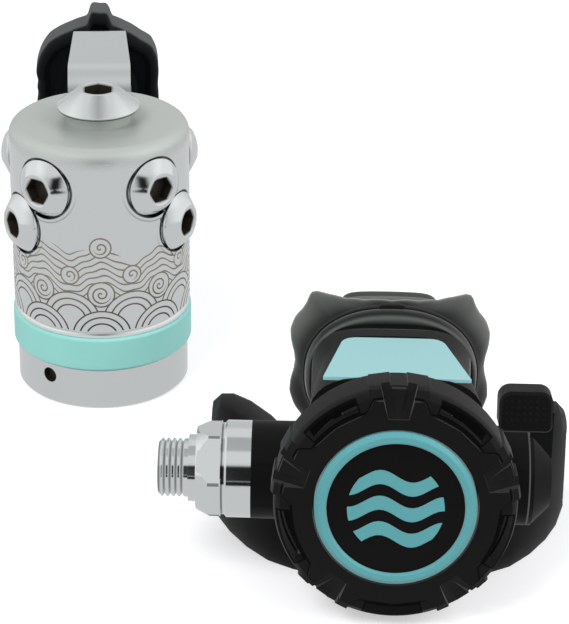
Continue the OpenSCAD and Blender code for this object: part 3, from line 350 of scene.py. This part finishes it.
def engraved_chrome():
    """The body's plating: satin on top, mirror round the side, a laser
    engraved band of scallops, wave lines and curls above the lip, and
    painted shade in the gaps round the plugs.

    Laid out flat in millimetres, nine repeats round the body: waves behind,
    curls on them, then two rows of scallops, each motif over the last.
    """
    paint = Paint("engraved_chrome")
    (x, y, z), where = paint.place()
    waves = paint.noise(where, 70, detail=2)
    dust = paint.noise(where, 2600, detail=2)
    grain = paint.noise(where, 5200, detail=2)
    across = x.atan2(-y) * (BODY_R / MM)
    up = (z - BODY_LOW) / MM
    repeat = 2 * math.pi * BODY_R / MM / 9

    def from_centre(turns, rise, count=1):
        """Offsets from the nearest motif of a row that repeats."""
        width = repeat * count
        side = ((across / width - turns + 0.5).fract() - 0.5) * width
        height = up - rise
        return side, height, (side * side + height * height).sqrt()

    # Waves: lines that follow a swell round the body
    swell = (across * (2 * math.pi / repeat)).cos() * 1.7
    chop = (across * (6 * math.pi / repeat) + up * 0.35).sin() * 0.3
    level = up - swell - chop
    crest = (across * (2 * math.pi / (3 * repeat)) + 1.1).cos() * 1.9 + 23.6
    marks = line_at(level, 1.95) * (level > 8.0) * (level < crest)
    # Curls: a spiral whose line climbs one ring a turn, in a rim
    for turns, rise, radius, count, twist in (
            (0.5, 22.0, 4.4, 3, 1), (0.0, 25.6, 2.9, 3, -1),
            (0.0, 11.6, 3.7, 1, 1), (0.5, 17.0, 2.6, 1, -1)):
        side, height, reach = from_centre(turns, rise, count)
        climb = height.atan2(side) * (twist * 1.5 / (2 * math.pi))
        spiral = line_at(reach - climb, 1.5)
        rim = abs(reach - radius).ramp(0.28, 0.16)
        inside = reach < radius
        marks = over(marks, (spiral * (reach < radius - 0.9)).max(rim), inside)
        marks = marks.max(rim)
    # Scallops: rings round centres in two rows, the lower one over the upper
    for turns, rise in ((0.5, 3.6), (0.0, -1.7)):
        _, height, reach = from_centre(turns, rise)
        rings = line_at(reach - 0.6, 1.9) * (reach > 4.0)
        marks = over(marks, rings, (reach < 8.4) * (height > -0.5))
    on_skin = ((x * x + y * y).sqrt() > BODY_R - 0.00025) * (up < 29.5) * (up > 0.3)
    marks = marks * on_skin
    # Painted shade round the plugs' rims and below the ports, mixed towards near black
    gap = painted_plug_shade(x, y, z)
    top = z.ramp(BODY_HIGH - 0.0092, BODY_HIGH - 0.0056)
    burnt = paint.mix(up.ramp(2, 15), rgb(52, 43, 38), rgb(134, 125, 106))
    metal = paint.mix(top, WHITE_CHROME, (0.52, 0.555, 0.53, 1))
    metal = paint.mix(marks, metal, burnt)
    return paint.surface(
        Base_Color=paint.mix(gap * 0.9, metal, rgb(30, 33, 34)),
        Metallic=1.0 - marks * 0.65 - top * 0.45,
        Roughness=0.06 + waves * 0.04 + dust.ramp(0.62, 0.75) * 0.1
        + top * 0.34 + marks * 0.35,
        Normal=paint.bump(grain * top - marks * 0.8, 0.00002))


def machined(name, colour, rough=0.28):
    """Turned metal with fine tool marks."""
    paint = Paint(name)
    _, where = paint.place()
    marks = paint.noise(where, 900, squash=(1, 1, 14))
    return paint.surface(
        Base_Color=paint.mix(marks, colour, dimmed(colour, 0.8)),
        Metallic=1.0, Roughness=rough + marks * 0.12)


def moulded(name, colour, warm, rough, grain_size, grain_deep, shine=0.5):
    """Moulded plastic or rubber: fine grain, uneven sheen and pale scuffs."""
    paint = Paint(name)
    _, where = paint.place()
    grain = paint.noise(where, grain_size, detail=3)
    clouds = paint.noise(where, 38)
    rubs = paint.noise(where, 700, detail=5, rough=0.7).ramp(0.64, 0.86)
    tone = paint.mix(clouds.ramp(0.35, 0.7), colour, warm)
    pale = tuple(min(1.0, part * 1.5 + 0.015) for part in colour[:3]) + (1,)
    return paint.surface(
        Base_Color=paint.mix(rubs * 0.35, tone, pale),
        Roughness=rough + clouds * 0.08 + rubs * 0.08,
        Specular_IOR_Level=shine,
        Normal=paint.bump(grain, grain_deep))


def cover_nylon():
    """The cover's grained nylon, with painted shade in the step round its
    front plate and down in its vents."""
    paint = Paint("cover_nylon")
    (x, y, z), where = paint.second_place()
    grain = paint.noise(where, 4200, detail=3)
    clouds = paint.noise(where, 38)
    reach = (x * x + z * z).sqrt()
    turn = x.atan2(z) * (VENTS / (2 * math.pi))
    side = abs(turn.fract() - 0.5) * (360 / VENTS)
    plate = side.ramp(18.5, 23.5) * 2.6 + PLATE_R
    # Painted shade: a near-black groove round the front plate and dark vent insides
    groove = abs(reach - plate - 0.1).ramp(0.34, 0.16) * (y < 3.4)
    depth = y - (reach - 24.5) * 0.26
    vent_shade = (side < 15.3) * (reach > 24.7) * (reach < 28.2) * (depth > 1.2)
    groove = groove.max(vent_shade)
    tone = paint.mix(clouds.ramp(0.35, 0.7), rgb(14, 15, 15), rgb(19, 19, 18))
    return paint.surface(
        Base_Color=paint.mix(groove * 0.95, tone, rgb(2, 2, 2)),
        Roughness=0.46 + clouds * 0.08 + groove * 0.4,
        Specular_IOR_Level=0.12, Normal=paint.bump(grain - groove * 2, 0.00003))


def lever_nylon():
    """Nylon with rows of small raised dots on the thumb pad's front."""
    paint = Paint("lever_nylon")
    (x, y, z), where = paint.second_place()
    grain = paint.noise(where, 4200, detail=3)
    across, up = (x / 1.5).fract() - 0.5, (z / 1.5).fract() - 0.5
    dot = (across * across + up * up).sqrt().ramp(0.36, 0.22)
    on_pad = (y < 22.5) * (z > 15) * (z < 20.9) * (x > 26.2) * (x < 36.6)
    return paint.surface(
        Base_Color=paint.mix(dot * on_pad * 0.2, rgb(11, 12, 12), rgb(30, 30, 30)),
        Roughness=0.42 + grain * 0.1, Specular_IOR_Level=0.12,
        Normal=paint.bump(grain * 0.08 + dot * on_pad, 0.00025))


def knob_rubber():
    """The handwheel's dark rubber, with a painted highlight that makes its rim grey."""
    paint = Paint("knob_rubber")
    (_, y, _), where = paint.place()
    clouds = paint.noise(where, 60, detail=3)
    grain = paint.noise(where, 3000, detail=3)
    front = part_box("yoke_knob")[0].y
    # Painted highlight: the outer rim grey, where light falls from above; the faces
    # stay dark
    rim = y.ramp(front + 0.0032, front + 0.0052)
    tone = paint.mix(clouds, rgb(92, 95, 96), rgb(78, 80, 82))
    return paint.surface(
        Base_Color=paint.mix(rim, rgb(10, 12, 14), tone), Roughness=0.6 + clouds * 0.1,
        Specular_IOR_Level=0.1, Normal=paint.bump(grain, 0.00003))


def smoky_silicone():
    """Dark translucent silicone: a glossy skin over a smoky body, with slow
    clouding and painted highlights, by attribute, on its rims and lobes."""
    paint = Paint("smoky_silicone")
    _, where = paint.place()
    clouds = paint.noise(where, 55, detail=3)
    skin = paint.noise(where, 1500, detail=2)
    # Painted highlights, by attribute: pale rims and upper lobes
    painted_highlight = paint.attribute("tint")
    tone = paint.mix(clouds, rgb(17, 20, 19), rgb(12, 15, 14))
    return paint.surface(
        Base_Color=paint.mix(painted_highlight, tone, rgb(165, 170, 164)),
        Roughness=0.24 + clouds * 0.1, Specular_IOR_Level=0.12,
        Transmission_Weight=0.06, IOR=1.41, Coat_Weight=0.04,
        Coat_Roughness=0.12, Normal=paint.bump(skin, 0.000015))


HOLES = [(turn, height, SPANNER_HOLE_R, CAP_R - 0.0002)
         for turn, height in SPANNER_HOLES]
CHROME = polished_chrome()
SATIN = satin_chrome()
BRASS = machined("turned_brass", (0.72, 0.52, 0.24, 1))
STEEL = machined("spring_steel", (0.56, 0.57, 0.58, 1), 0.2)
NYLON = moulded("black_nylon", rgb(12, 13, 13), rgb(18, 18, 17),
                0.44, 4200, 0.00003, 0.08)
SEAL_RUBBER = moulded("seal_rubber", rgb(22, 22, 22), rgb(30, 29, 28),
                      0.5, 3000, 0.00002)
MINT_RUBBER = moulded("mint_rubber", rgb(141, 208, 200), rgb(147, 210, 203),
                      0.42, 2600, 0.00003)
MINT_INLAY = moulded("mint_inlay", rgb(140, 190, 193), rgb(145, 193, 195),
                     0.38, 3600, 0.00001)
TEAL = moulded("teal_ring", rgb(80, 151, 156), rgb(84, 155, 160), 0.3, 3600, 0.00001)
DISC = moulded("black_disc", rgb(10, 10, 10), rgb(13, 12, 12),
               0.38, 3600, 0.00001, 0.12)
SILICONE = smoky_silicone()
PLUG_CHROME = plug_chrome()

SLOT_FINISH = {"chrome": CHROME, "satin_chrome": SATIN, "brass": BRASS,
               "steel": STEEL, "black_nylon": NYLON,
               "black_rubber": SEAL_RUBBER, "mint_rubber": MINT_RUBBER,
               "mint_inlay": MINT_INLAY, "teal": TEAL,
               "smoke_silicone": SILICONE}
OWN_FINISH = {"first_stage_body": engraved_chrome(), "yoke_knob": knob_rubber(),
              "yoke": satin_chrome("yoke_satin", 0.36, (0.78, 0.815, 0.815, 1)),
              "purge_button": DISC,
              "diaphragm_clamp": satin_chrome("lip_chrome", 0.28,
                                              (0.95, 0.97, 0.97, 1)),
              "inlet_fitting": fitting_chrome(),
              "environmental_cap": polished_chrome("cap_chrome", 0.16, HOLES),
              "front_cover": cover_nylon(), "venturi_lever": lever_nylon()}
SLOT_OF = {row["node"]: row["material_slot"]
           for row in frame["record"]["subparts"]}
FIRST_STAGE = ("first_stage", "first_stage_valve", "yoke_screw", "yoke_handwheel")
BODY_OF = {node: body for body, nodes
           in frame["record"]["behaviour"]["bodies"].items() for node in nodes}


# ------------------------------------------------------------------ pieces
def add_piece(name, mesh, finish, node, replaces=True):
    """Links a mesh as a piece that rides where its CAD node does."""
    piece = bpy.data.objects.new(name, mesh)
    bpy.context.scene.collection.objects.link(piece)
    mesh.materials.clear()
    mesh.materials.append(finish)
    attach(piece, BODY_OF[node])
    if replaces:
        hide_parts(node)
    return piece


def welded(node, sharp=32):
    """A copy of a CAD node's mesh with its triangles joined, its flat faces
    made whole and its sharp edges marked."""
    mesh = NODES[node].data.copy()
    grid = bmesh.new()
    grid.from_mesh(mesh)
    bmesh.ops.remove_doubles(grid, verts=grid.verts, dist=3e-6)
    bmesh.ops.dissolve_limit(grid, angle_limit=math.radians(0.4),
                             verts=grid.verts, edges=grid.edges)
    grid.to_mesh(mesh)
    grid.free()
    if "custom_normal" in mesh.attributes:
        mesh.attributes.remove(mesh.attributes["custom_normal"])
    mesh.shade_smooth()
    mesh.set_sharp_from_angle(angle=math.radians(sharp))
    return mesh


def rounded(node, width, sharp=32, steps=2):
    """The welded node as a piece of its own, its sharp edges rounded."""
    piece = add_piece(node + "_shape", welded(node, sharp),
                      OWN_FINISH.get(node) or SLOT_FINISH[SLOT_OF[node]], node)
    edge = piece.modifiers.new("edge", "BEVEL")
    edge.width = width * MM
    edge.segments = steps
    edge.limit_method = "ANGLE"
    edge.angle_limit = math.radians(sharp)
    edge.use_clamp_overlap = True
    flat = piece.modifiers.new("flat", "WEIGHTED_NORMAL")
    flat.keep_sharp = True
    return piece


def on_second(points):
    """Points of the second stage's frame, in millimetres, in the world."""
    points = np.asarray(points, float)
    return points * MM @ SECOND_TURN.T + np.array(SECOND_PLACE)


def in_world(points):
    """Points of the row's own frame, in millimetres, in the world."""
    return np.asarray(points, float) * MM


def skinned(name, rings, tint=None, loop=False, placed=on_second, sharp=None):
    """A mesh over rings of points, (rings, points a ring, 3): four-sided
    faces between neighbours. With loop the last ring meets the first, and
    otherwise both ends are closed by one face. tint is kept as an attribute
    of the points, and edges over sharp degrees stay sharp."""
    rings = np.asarray(rings, float)
    count, around = rings.shape[:2]
    near = np.arange(count if loop else count - 1)[:, None] * around
    far = (near + around) % (count * around)
    here = np.arange(around)
    beside = (here + 1) % around
    faces = np.stack([near + here, near + beside, far + beside, far + here],
                     -1).reshape(-1, 4).tolist()
    if not loop:
        faces += [here[::-1].tolist(), ((count - 1) * around + here).tolist()]
    mesh = bpy.data.meshes.new(name)
    mesh.from_pydata(placed(rings.reshape(-1, 3)).tolist(), [], faces)
    grid = bmesh.new()
    grid.from_mesh(mesh)
    bmesh.ops.recalc_face_normals(grid, faces=grid.faces)
    grid.to_mesh(mesh)
    grid.free()
    mesh.shade_smooth()
    if sharp:
        mesh.set_sharp_from_angle(angle=math.radians(sharp))
    layer = mesh.attributes.new("tint", "FLOAT", "POINT")
    layer.data.foreach_set("value", np.zeros(len(mesh.vertices)) if tint is None
                           else np.asarray(tint, float).reshape(-1))
    return mesh


def smooth_rows(rows, steps):
    """Rows of values with steps rows between each two, on a curve through
    them (Catmull-Rom)."""
    rows = np.asarray(rows, float)
    held = np.vstack([rows[:1], rows, rows[-1:]])
    made = []
    for k in range(len(rows) - 1):
        a, b, c, d = held[k:k + 4]
        for t in np.arange(steps) / steps:
            made.append(b + 0.5 * t * (c - a + t * (
                2 * a - 5 * b + 4 * c - d + t * (3 * (b - c) + d - a))))
    return np.array(made + [rows[-1]])


def oval_radius(turn, half_wide, half_high, power):
    """Radius of a superellipse, |x/a|^p + |z/b|^p = 1, at each turn."""
    return ((np.abs(np.cos(turn)) / half_wide) ** power
            + (np.abs(np.sin(turn)) / half_high) ** power) ** (-1 / power)


# Lip flange's outline in a quarter, x and height over the neck's axis: a
# waist at the side, a lobe, and an ear at the corner
FLANGE = ((24.5, 0), (24.8, 2.5), (25.6, 5.5), (25.8, 8.5), (24.6, 11.8), (22.7, 14.2),
          (21.6, 16.2), (21.1, 17.8), (20.5, 18.8), (19.2, 19.2), (16.5, 18.7),
          (12, 17.9), (7, 17.7), (0, 17.7))


def flange_radius(turn):
    """The outline's radius at each turn, the same in all four quarters."""
    points = np.array(FLANGE)
    turns = np.arctan2(points[:, 1], points[:, 0])
    folded = np.arctan2(np.abs(np.sin(turn)), np.abs(np.cos(turn)))
    return np.interp(folded, turns, np.hypot(points[:, 0], points[:, 1]))


# Mouthpiece, from the sleeve's front edge round to it again on the inside:
# depth y, half-width, half-height, oval's power, share of the flange outline
# and of its backward sweep, and its painted highlight
MOUTH_ROWS = ((54.5, 20.9, 16, 2.3, 0, 0, 0.25), (54.7, 21.4, 16.5, 2.3, 0, 0, 0.2),
              (56, 21.7, 17.1, 2.25, 0, 0, 0), (58, 21.9, 17.5, 2.25, 0, 0, 0.1),
              (58.6, 22, 17.6, 2.25, 0, 0, 0.5), (59.2, 21.9, 17.3, 2.3, 0, 0, 0.1),
              (60.6, 23, 17.2, 2.4, 0.1, 0.2, 0), (61.8, 24.4, 17.3, 2.6, 0.6, 0.6, 0),
              (63, 25.2, 17.4, 2.8, 0.95, 0.9, 0), (64.4, 25.4, 17.5, 2.8, 1, 1, 0.1),
              (65.4, 25.4, 17.4, 2.8, 1, 1, 0.6), (66.4, 24.9, 17, 2.8, 0.96, 1, 0.1),
              (67.2, 23.2, 15.6, 2.8, 0.75, 0.9, 0),
              (68.6, 20.6, 12.4, 2.8, 0.3, 0.6, 0),
              (70.4, 18.9, 10, 2.8, 0, 0.2, 0), (73, 18.3, 8.8, 2.8, 0, 0, 0),
              (75.6, 18, 8.4, 2.8, 0, 0, 0.1), (76.2, 17.2, 7.6, 2.8, 0, 0, 0.2),
              (76.1, 15.4, 6.2, 3, 0, 0, 0.1), (75, 14.7, 5.6, 3, 0, 0, 0),
              (70, 14.6, 6, 3, 0, 0, 0), (65, 17, 10, 3, 0, 0, 0),
              (62.3, 20.1, 13.1, 4, 0, 0, 0), (55.4, 20.1, 13.1, 4, 0, 0, 0),
              (54.7, 20.4, 14.6, 3, 0, 0, 0))


def mouthpiece_mesh():
    """Sleeve, lip flange and tube in one closed skin.

    Ring k lies at depth y_k + 4.5 s_k (x / 25)^2, at the radius
    (1 - f_k) oval + f_k flange, with y, oval, f and s along MOUTH_ROWS.
    """
    rows = smooth_rows(MOUTH_ROWS + (MOUTH_ROWS[0],), 4)[:-1]
    turn = np.linspace(0, 2 * math.pi, 160, endpoint=False)
    lip = flange_radius(turn)
    rings, painted_highlight = [], []
    for y, wide, high, power, share, sweep, pale in rows:
        radius = oval_radius(turn, wide, high, power)
        radius = radius + share * (lip * (wide / 25.4) - radius)
        x = radius * np.cos(turn)
        z = NECK_Z + radius * np.sin(turn)
        rings.append(np.stack([x, y + 4.5 * sweep * (x / 25) ** 2, z], 1))
        # Painted highlight: pale rims from the rows, and paler upper lobes of the
        # flange, where light falls from above
        lobe_highlight = np.clip(3 * np.sin(turn), 0, 1) * np.abs(np.cos(turn)) ** 1.5
        painted_highlight.append(np.clip(pale + 0.42 * share * lobe_highlight, 0, 1))
    return skinned("mouthpiece_skin", rings, painted_highlight, loop=True)


def bite_tab_mesh(side):
    """A tongue along y whose section is a rounded slab: half-height h(y)
    1.8, rising to 5.6 in the rim at its end, with the power 3."""
    rings = []
    for y, middle, half_wide, half_high in smooth_rows((
            (71, 16.2, 3.6, 1.2), (74, 16.4, 4.6, 1.7), (79, 16.3, 4.7, 1.7),
            (83.5, 15.9, 4.6, 1.8), (85.2, 15.7, 4.5, 3.6), (86.2, 15.6, 4.4, 5.4),
            (87.4, 15.5, 4.2, 5.4), (88.2, 15.4, 3.4, 4.4), (88.4, 15.4, 2, 2.8)), 3):
        turn = np.linspace(0, 2 * math.pi, 40, endpoint=False)
        radius = oval_radius(turn, half_wide, half_high, 3)
        rings.append(np.stack([side * middle + radius * np.cos(turn),
                               np.full(40, y), NECK_Z + radius * np.sin(turn)], 1))
    return skinned("bite_tab", rings)


def palate_bridge_mesh():
    """A strip from y 77.5 to 86.5 swept over the upper half of a superellipse
    of half-width 12.4, height 13.2 and power 7."""
    rings, painted_highlight = [], []
    for bend in np.linspace(math.radians(6), math.radians(174), 61):
        turn = np.linspace(0, 2 * math.pi, 32, endpoint=False)
        section = oval_radius(turn, 4.5, 1.4, 3.5)
        radius = oval_radius(bend, 12.4, 13.2, 7) + section * np.sin(turn)
        rings.append(np.stack([
            radius * math.cos(bend), 82 + section * np.cos(turn),
            NECK_Z + radius * math.sin(bend)], 1))
        # Painted highlight along the bridge's upper front edge
        painted_highlight.append(0.3 * (np.cos(turn) < -0.75) * (np.sin(turn) > 0.1))
    return skinned("palate_bridge", rings, painted_highlight)


def strap_mesh():
    """A tie round the sleeve: a rounded strip from y 56.9 to 60.3, with a
    buckle where the turn is within 0.19 of the top."""
    rings = []
    for bend in np.linspace(0, 2 * math.pi, 161)[:-1]:
        turn = np.linspace(0, 2 * math.pi, 20, endpoint=False)
        high = 1.1 if abs(bend - math.pi / 2) < 0.19 else 0.6
        section = oval_radius(turn, 1.7, high, 3.5)
        radius = oval_radius(bend, 21.8, 17.3, 2.27) + section * np.sin(turn)
        rings.append(np.stack([
            radius * math.cos(bend), 60 + section * np.cos(turn),
            NECK_Z + radius * math.sin(bend)], 1))
    return skinned("strap", rings, loop=True)


# Port plug, from its thread's end round to its socket's floor: radius,
# distance from the stage's axis, 1 where the ring is a hexagon, and how brown
PLUG_ROWS = ((4.7, 16, 0, 0), (4.7, 23.65, 0, 0), (7.8, 23.65, 0, 0),
             (8.15, 24, 0, 0), (8.2, 24.2, 0, 0), (8.2, 24.7, 0, 0),
             (8.05, 24.95, 0, 0), (5.05, 27.75, 0, 0), (4.85, 27.85, 0, 0),
             (4.4, 27.85, 0, 0), (4, 27.7, 0, 0), (3.75, 27.3, 1, 1),
             (3.75, 24.3, 1, 1))


def top_plug_rows():
    """Rows of the top plug, with heights from its solid: its valve bore,
    its seal groove, its rim with painted shade below, its cone and socket."""
    low, high = (corner.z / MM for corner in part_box("end_plug"))
    rim = BODY_HIGH / MM
    return ((2.6, low + 10, 0, 0), (2.6, low + 4, 0, 0), (4, low + 4, 0, 0),
            (4, low, 0, 0), (7.95, low, 0, 0), (7.95, low + 6, 0, 0),
            (6.6, low + 6, 0, 0), (6.6, low + 8, 0, 0), (7.95, low + 8, 0, 0),
            # The rim's lower rows are 1 in the last column: painted shade under the rim
            (7.95, rim + 0.02, 0, 0), (TOP_RIM_R - 0.25, rim + 0.02, 0, 1),
            (TOP_RIM_R, rim + 0.3, 0, 1), (TOP_RIM_R, rim + 0.7, 0, 0),
            (TOP_RIM_R - 0.25, rim + 0.95, 0, 0), (5.6, high - 0.1, 0, 0),
            (5.3, high, 0, 0), (4.9, high, 0, 0), (4.6, high - 0.15, 0, 0),
            (4.2, high - 0.5, 1, 1), (4.2, high - 4, 1, 1))


def plug_rings(rows, out, across):
    """Rings of a plug turned about the line out from the axis, and their share
    of socket brown and of painted shade: each ring's radius is r, or
    r cos 30 / cos((t mod 60) - 30) where it is a hexagon."""
    turn = np.linspace(0, 2 * math.pi, 96, endpoint=False)
    sixth = math.radians(60)
    hexagon = math.cos(sixth / 2) / np.cos(turn % sixth - sixth / 2)
    radius, along, six, brown = (np.array(row)[:, None] for row in zip(*rows))
    reach = (radius * np.where(six > 0, hexagon, 1))[..., None]
    rings = (along[..., None] * out + reach * (
        np.cos(turn)[:, None] * across + np.sin(turn)[:, None] * np.cross(out, across)))
    return rings, brown * np.ones(len(turn))


def port_plug_mesh(turn, height):
    """A port plug that points out at a turn from the front."""
    sine, cosine = math.sin(math.radians(turn)), math.cos(math.radians(turn))
    rings, brown = plug_rings(PLUG_ROWS, np.array((sine, -cosine, 0)),
                              np.array((cosine, sine, 0)))
    return skinned("port_plug", rings + np.array((0, 0, height / MM)), brown,
                   placed=in_world, sharp=28)


def top_plug_mesh():
    """The top plug, which points up."""
    rings, brown = plug_rings(top_plug_rows(), np.array((0, 0, 1)),
                              np.array((0, 1, 0)))
    return skinned("top_plug", rings, brown, placed=in_world, sharp=28)


# Handwheel's outline: turn from its upper nub, and radius; its lower half is
# the mirror of its upper one
KNOB = ((-90, 19.8), (-84, 19.4), (-76, 20.6), (-60, 21.2), (-48, 21.3), (-37, 20.6),
        (-28, 20.1), (-14, 20), (-10.5, 20.4), (-8.5, 22.6), (-6, 24), (0, 23.5),
        (5.5, 23.7), (8, 21.8), (10.5, 19.9), (23, 19.4), (40, 19.3), (51, 20.2),
        (60, 19.7), (69, 18.9), (82, 17.8), (90, 17.4))
# Its section, from the bore round the dished front, the rim and the back:
# share of the outline, radius or inset from the outline, and depth
KNOB_ROWS = ((0, 8.65, 0), (0, 10.8, 0), (0, 11.2, 0.4), (0, 11.4, 2.4), (1, 4.4, 2.4),
             (1, 3.6, 1.9), (1, 2.6, 0.4), (1, 2.2, 0.2), (1, 1.2, 0.5), (1, 0.5, 1.4),
             (1, 0.1, 2.8), (1, 0, 4), (1, 0, 12.6), (1, 0.2, 14.4), (1, 0.9, 16.6),
             (1, 2.2, 18.4), (1, 4.2, 19.6), (1, 6.4, 20), (0, 4.8, 20), (0, 4.7, 19.8),
             (0, 4.7, 17), (0, 8.65, 17))


def knob_mesh():
    """The section carried round the screw: at each turn t its point lies at
    the radius (1 - f) r + f (outline(t) - r), with f and r along KNOB_ROWS."""
    low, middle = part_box("yoke_knob")[0].y / MM, KNOB_AXIS / MM
    turn = np.linspace(0, 360, 240, endpoint=False)
    folded = np.where(np.cos(np.radians(turn)) >= 0, (turn + 180) % 360 - 180,
                      180 - turn)
    outline = np.interp(folded, *zip(*KNOB))
    outline = (np.roll(outline, 1) + 2 * outline + np.roll(outline, -1)) / 4
    share, radius, depth = (np.array(row)[:, None] for row in zip(*KNOB_ROWS))
    reach = np.where(share > 0, outline - radius, radius)
    around = np.radians(turn)
    rings = np.stack([reach * np.sin(around), low + depth + 0 * reach,
                      middle + reach * np.cos(around)], -1)
    return skinned("knob", rings, loop=True, placed=in_world, sharp=50)


ROUNDING = {
    "first_stage_body": 0.18, "colour_ring": 0.2, "diaphragm_clamp": 0.3,
    "environmental_cap": 0.2, "yoke": 0.9, "yoke_connector": 0.25,
    "yoke_screw": 0.1, "knob_screw": 0.15,
    "front_cover": 0.25, "purge_button": 0.12, "accent_ring": 0.12,
    "second_stage_case": 0.25, "top_label": 0.12, "inlet_fitting": 0.25,
    "venturi_lever": 0.7, "exhaust_tee": 0.5}

for name, mesh_object in NODES.items():
    finish = OWN_FINISH.get(name) or SLOT_FINISH[SLOT_OF[name]]
    mesh_object.data.materials.clear()
    mesh_object.data.materials.append(finish)
for name, width in ROUNDING.items():
    rounded(name, width)
add_piece("mouthpiece_skin", mouthpiece_mesh(), SILICONE, "mouthpiece")
for side in (-1, 1):
    add_piece("bite_tab", bite_tab_mesh(side), SILICONE, "mouthpiece", False)
add_piece("palate_bridge", palate_bridge_mesh(), SILICONE, "mouthpiece", False)
add_piece("strap", strap_mesh(), NYLON, "mouthpiece_strap")
add_piece("top_plug", top_plug_mesh(), PLUG_CHROME, "end_plug")
add_piece("knob", knob_mesh(), OWN_FINISH["yoke_knob"], "yoke_knob")
for turn, height in PORTS:
    node = "low_pressure_plugs" if height == PORT_HIGH else "high_pressure_plugs"
    for side in (-1, 1):
        first = side < 0 and turn != PORTS[1][0]
        add_piece("port_plug", port_plug_mesh(side * turn, height), PLUG_CHROME,
                  node, first)
# The bare side of the first stage doesn't mirror the black second stage
for piece in bpy.context.scene.objects:
    body = piece.get("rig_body", BODY_OF.get(piece.name))
    if piece.type == "MESH" and body not in FIRST_STAGE:
        piece.visible_glossy = False


# ---------------------------------------------------- floor, light, camera
def white_floor():
    """A pale floor: white to the camera but for its shadow, and to
    reflections a soft grey that ends in front, where the maker stands."""
    paint = Paint("floor")
    rays = paint.node("ShaderNodeLightPath")
    (x, y, _), _ = paint.place()
    edge = y.ramp(-0.25, -0.27) * abs(x).ramp(0.16, 0.06)
    plain = paint.node("ShaderNodeBsdfDiffuse", {}, {"Color": (0.66, 0.665, 0.68, 1)})
    bright = paint.node("ShaderNodeEmission", {}, {
        "Color": (1, 1, 1, 1), "Strength": 0.48})
    lit = paint.node("ShaderNodeAddShader", {}, {
        0: plain.outputs[0], 1: bright.outputs[0]})
    sheet = paint.node("ShaderNodeEmission", {}, {
        "Color": paint.mix(edge, (0.67, 0.67, 0.67, 1), (0.005, 0.005, 0.005, 1)),
        "Strength": 1.0})
    mirrored = paint.node("ShaderNodeMixShader", {}, {
        0: rays.outputs["Is Glossy Ray"], 1: plain.outputs[0], 2: sheet.outputs[0]})
    seen = paint.node("ShaderNodeMixShader", {}, {
        0: rays.outputs["Is Camera Ray"], 1: mirrored.outputs[0], 2: lit.outputs[0]})
    mesh = bpy.data.meshes.new("floor")
    reach = 6.0
    corners = [(x_side * reach, y_side * reach, 0)
               for x_side, y_side in ((-1, -1), (1, -1), (1, 1), (-1, 1))]
    mesh.from_pydata(corners, [], [(0, 1, 2, 3)])
    floor = bpy.data.objects.new("floor", mesh)
    bpy.context.scene.collection.objects.link(floor)
    mesh.materials.append(paint.finish(seen.outputs[0]))


def tent_light():
    """The light tent: even white for diffuse light, and for reflections a
    bright ceiling, paler sides and a dark gap where the maker stands."""
    paint = Paint("tent", world=True)
    rays = paint.node("ShaderNodeLightPath")
    out = paint.node("ShaderNodeTexCoord").outputs["Generated"]
    split = paint.node("ShaderNodeSeparateXYZ", sockets={0: out})
    x, y, z = (Val(paint, split.outputs[k]) for k in range(3))
    high = z.ramp(0.55, 0.7) * 0.14
    wings = abs(x).ramp(0.4, 0.75) * 0.28
    crown = z.ramp(0.93, 0.96) * abs(x).ramp(0.36, 0.02) * 0.3
    gap = abs(x).ramp(0.32, 0.12) * (y < 0.0) * z.ramp(0.62, 0.54)
    level = (0.62 + high + wings - crown) * (1 - gap * 0.995)
    glossy = paint.node("ShaderNodeBackground", {}, {
        "Color": (1, 1, 1, 1), "Strength": level})
    even = paint.node("ShaderNodeBackground", {}, {
        "Color": (1, 1, 1, 1), "Strength": 0.62})
    backdrop = paint.node("ShaderNodeBackground", {}, {
        "Color": (1, 1, 1, 1), "Strength": 1.0})
    lit = paint.node("ShaderNodeMixShader", {}, {
        0: rays.outputs["Is Glossy Ray"], 1: even.outputs[0], 2: glossy.outputs[0]})
    seen = paint.node("ShaderNodeMixShader", {}, {
        0: rays.outputs["Is Camera Ray"], 1: lit.outputs[0], 2: backdrop.outputs[0]})
    paint.node("ShaderNodeOutputWorld", {}, {"Surface": seen.outputs[0]})
    bpy.context.scene.world = paint.made


def soft_box(name, place, aim, size, power):
    """A square area lamp that mirror plating doesn't show."""
    light = bpy.data.lights.new(name, "AREA")
    light.shape, light.size, light.energy = "SQUARE", size, power
    lamp = bpy.data.objects.new(name, light)
    lamp.location = place
    lamp.visible_glossy = False
    line = Vector(aim) - Vector(place)
    lamp.rotation_euler = line.to_track_quat("-Z", "Y").to_euler()
    bpy.context.scene.collection.objects.link(lamp)


def camera():
    """A long lens, level across and pitched down at the two stages."""
    data = bpy.data.cameras.new("camera")
    data.sensor_width, data.lens = 36, 132.7
    data.shift_x, data.shift_y = 0.1317, 0.0013
    data.clip_start, data.clip_end = 0.01, 50
    seer = bpy.data.objects.new("camera", data)
    seer.location = (0.0081, -0.5931, 0.3111)
    seer.rotation_euler = (math.radians(90 - 26.3), 0, math.radians(-1.98))
    bpy.context.scene.collection.objects.link(seer)
    bpy.context.scene.camera = seer


white_floor()
tent_light()
soft_box("key", (-0.45, -0.55, 0.9), (0.03, -0.03, 0.03), 0.5, 7)
soft_box("fill", (0.75, -0.35, 0.6), (0.05, -0.05, 0.03), 0.6, 4.5)
camera()
bpy.context.scene.view_settings.view_transform = "Standard"
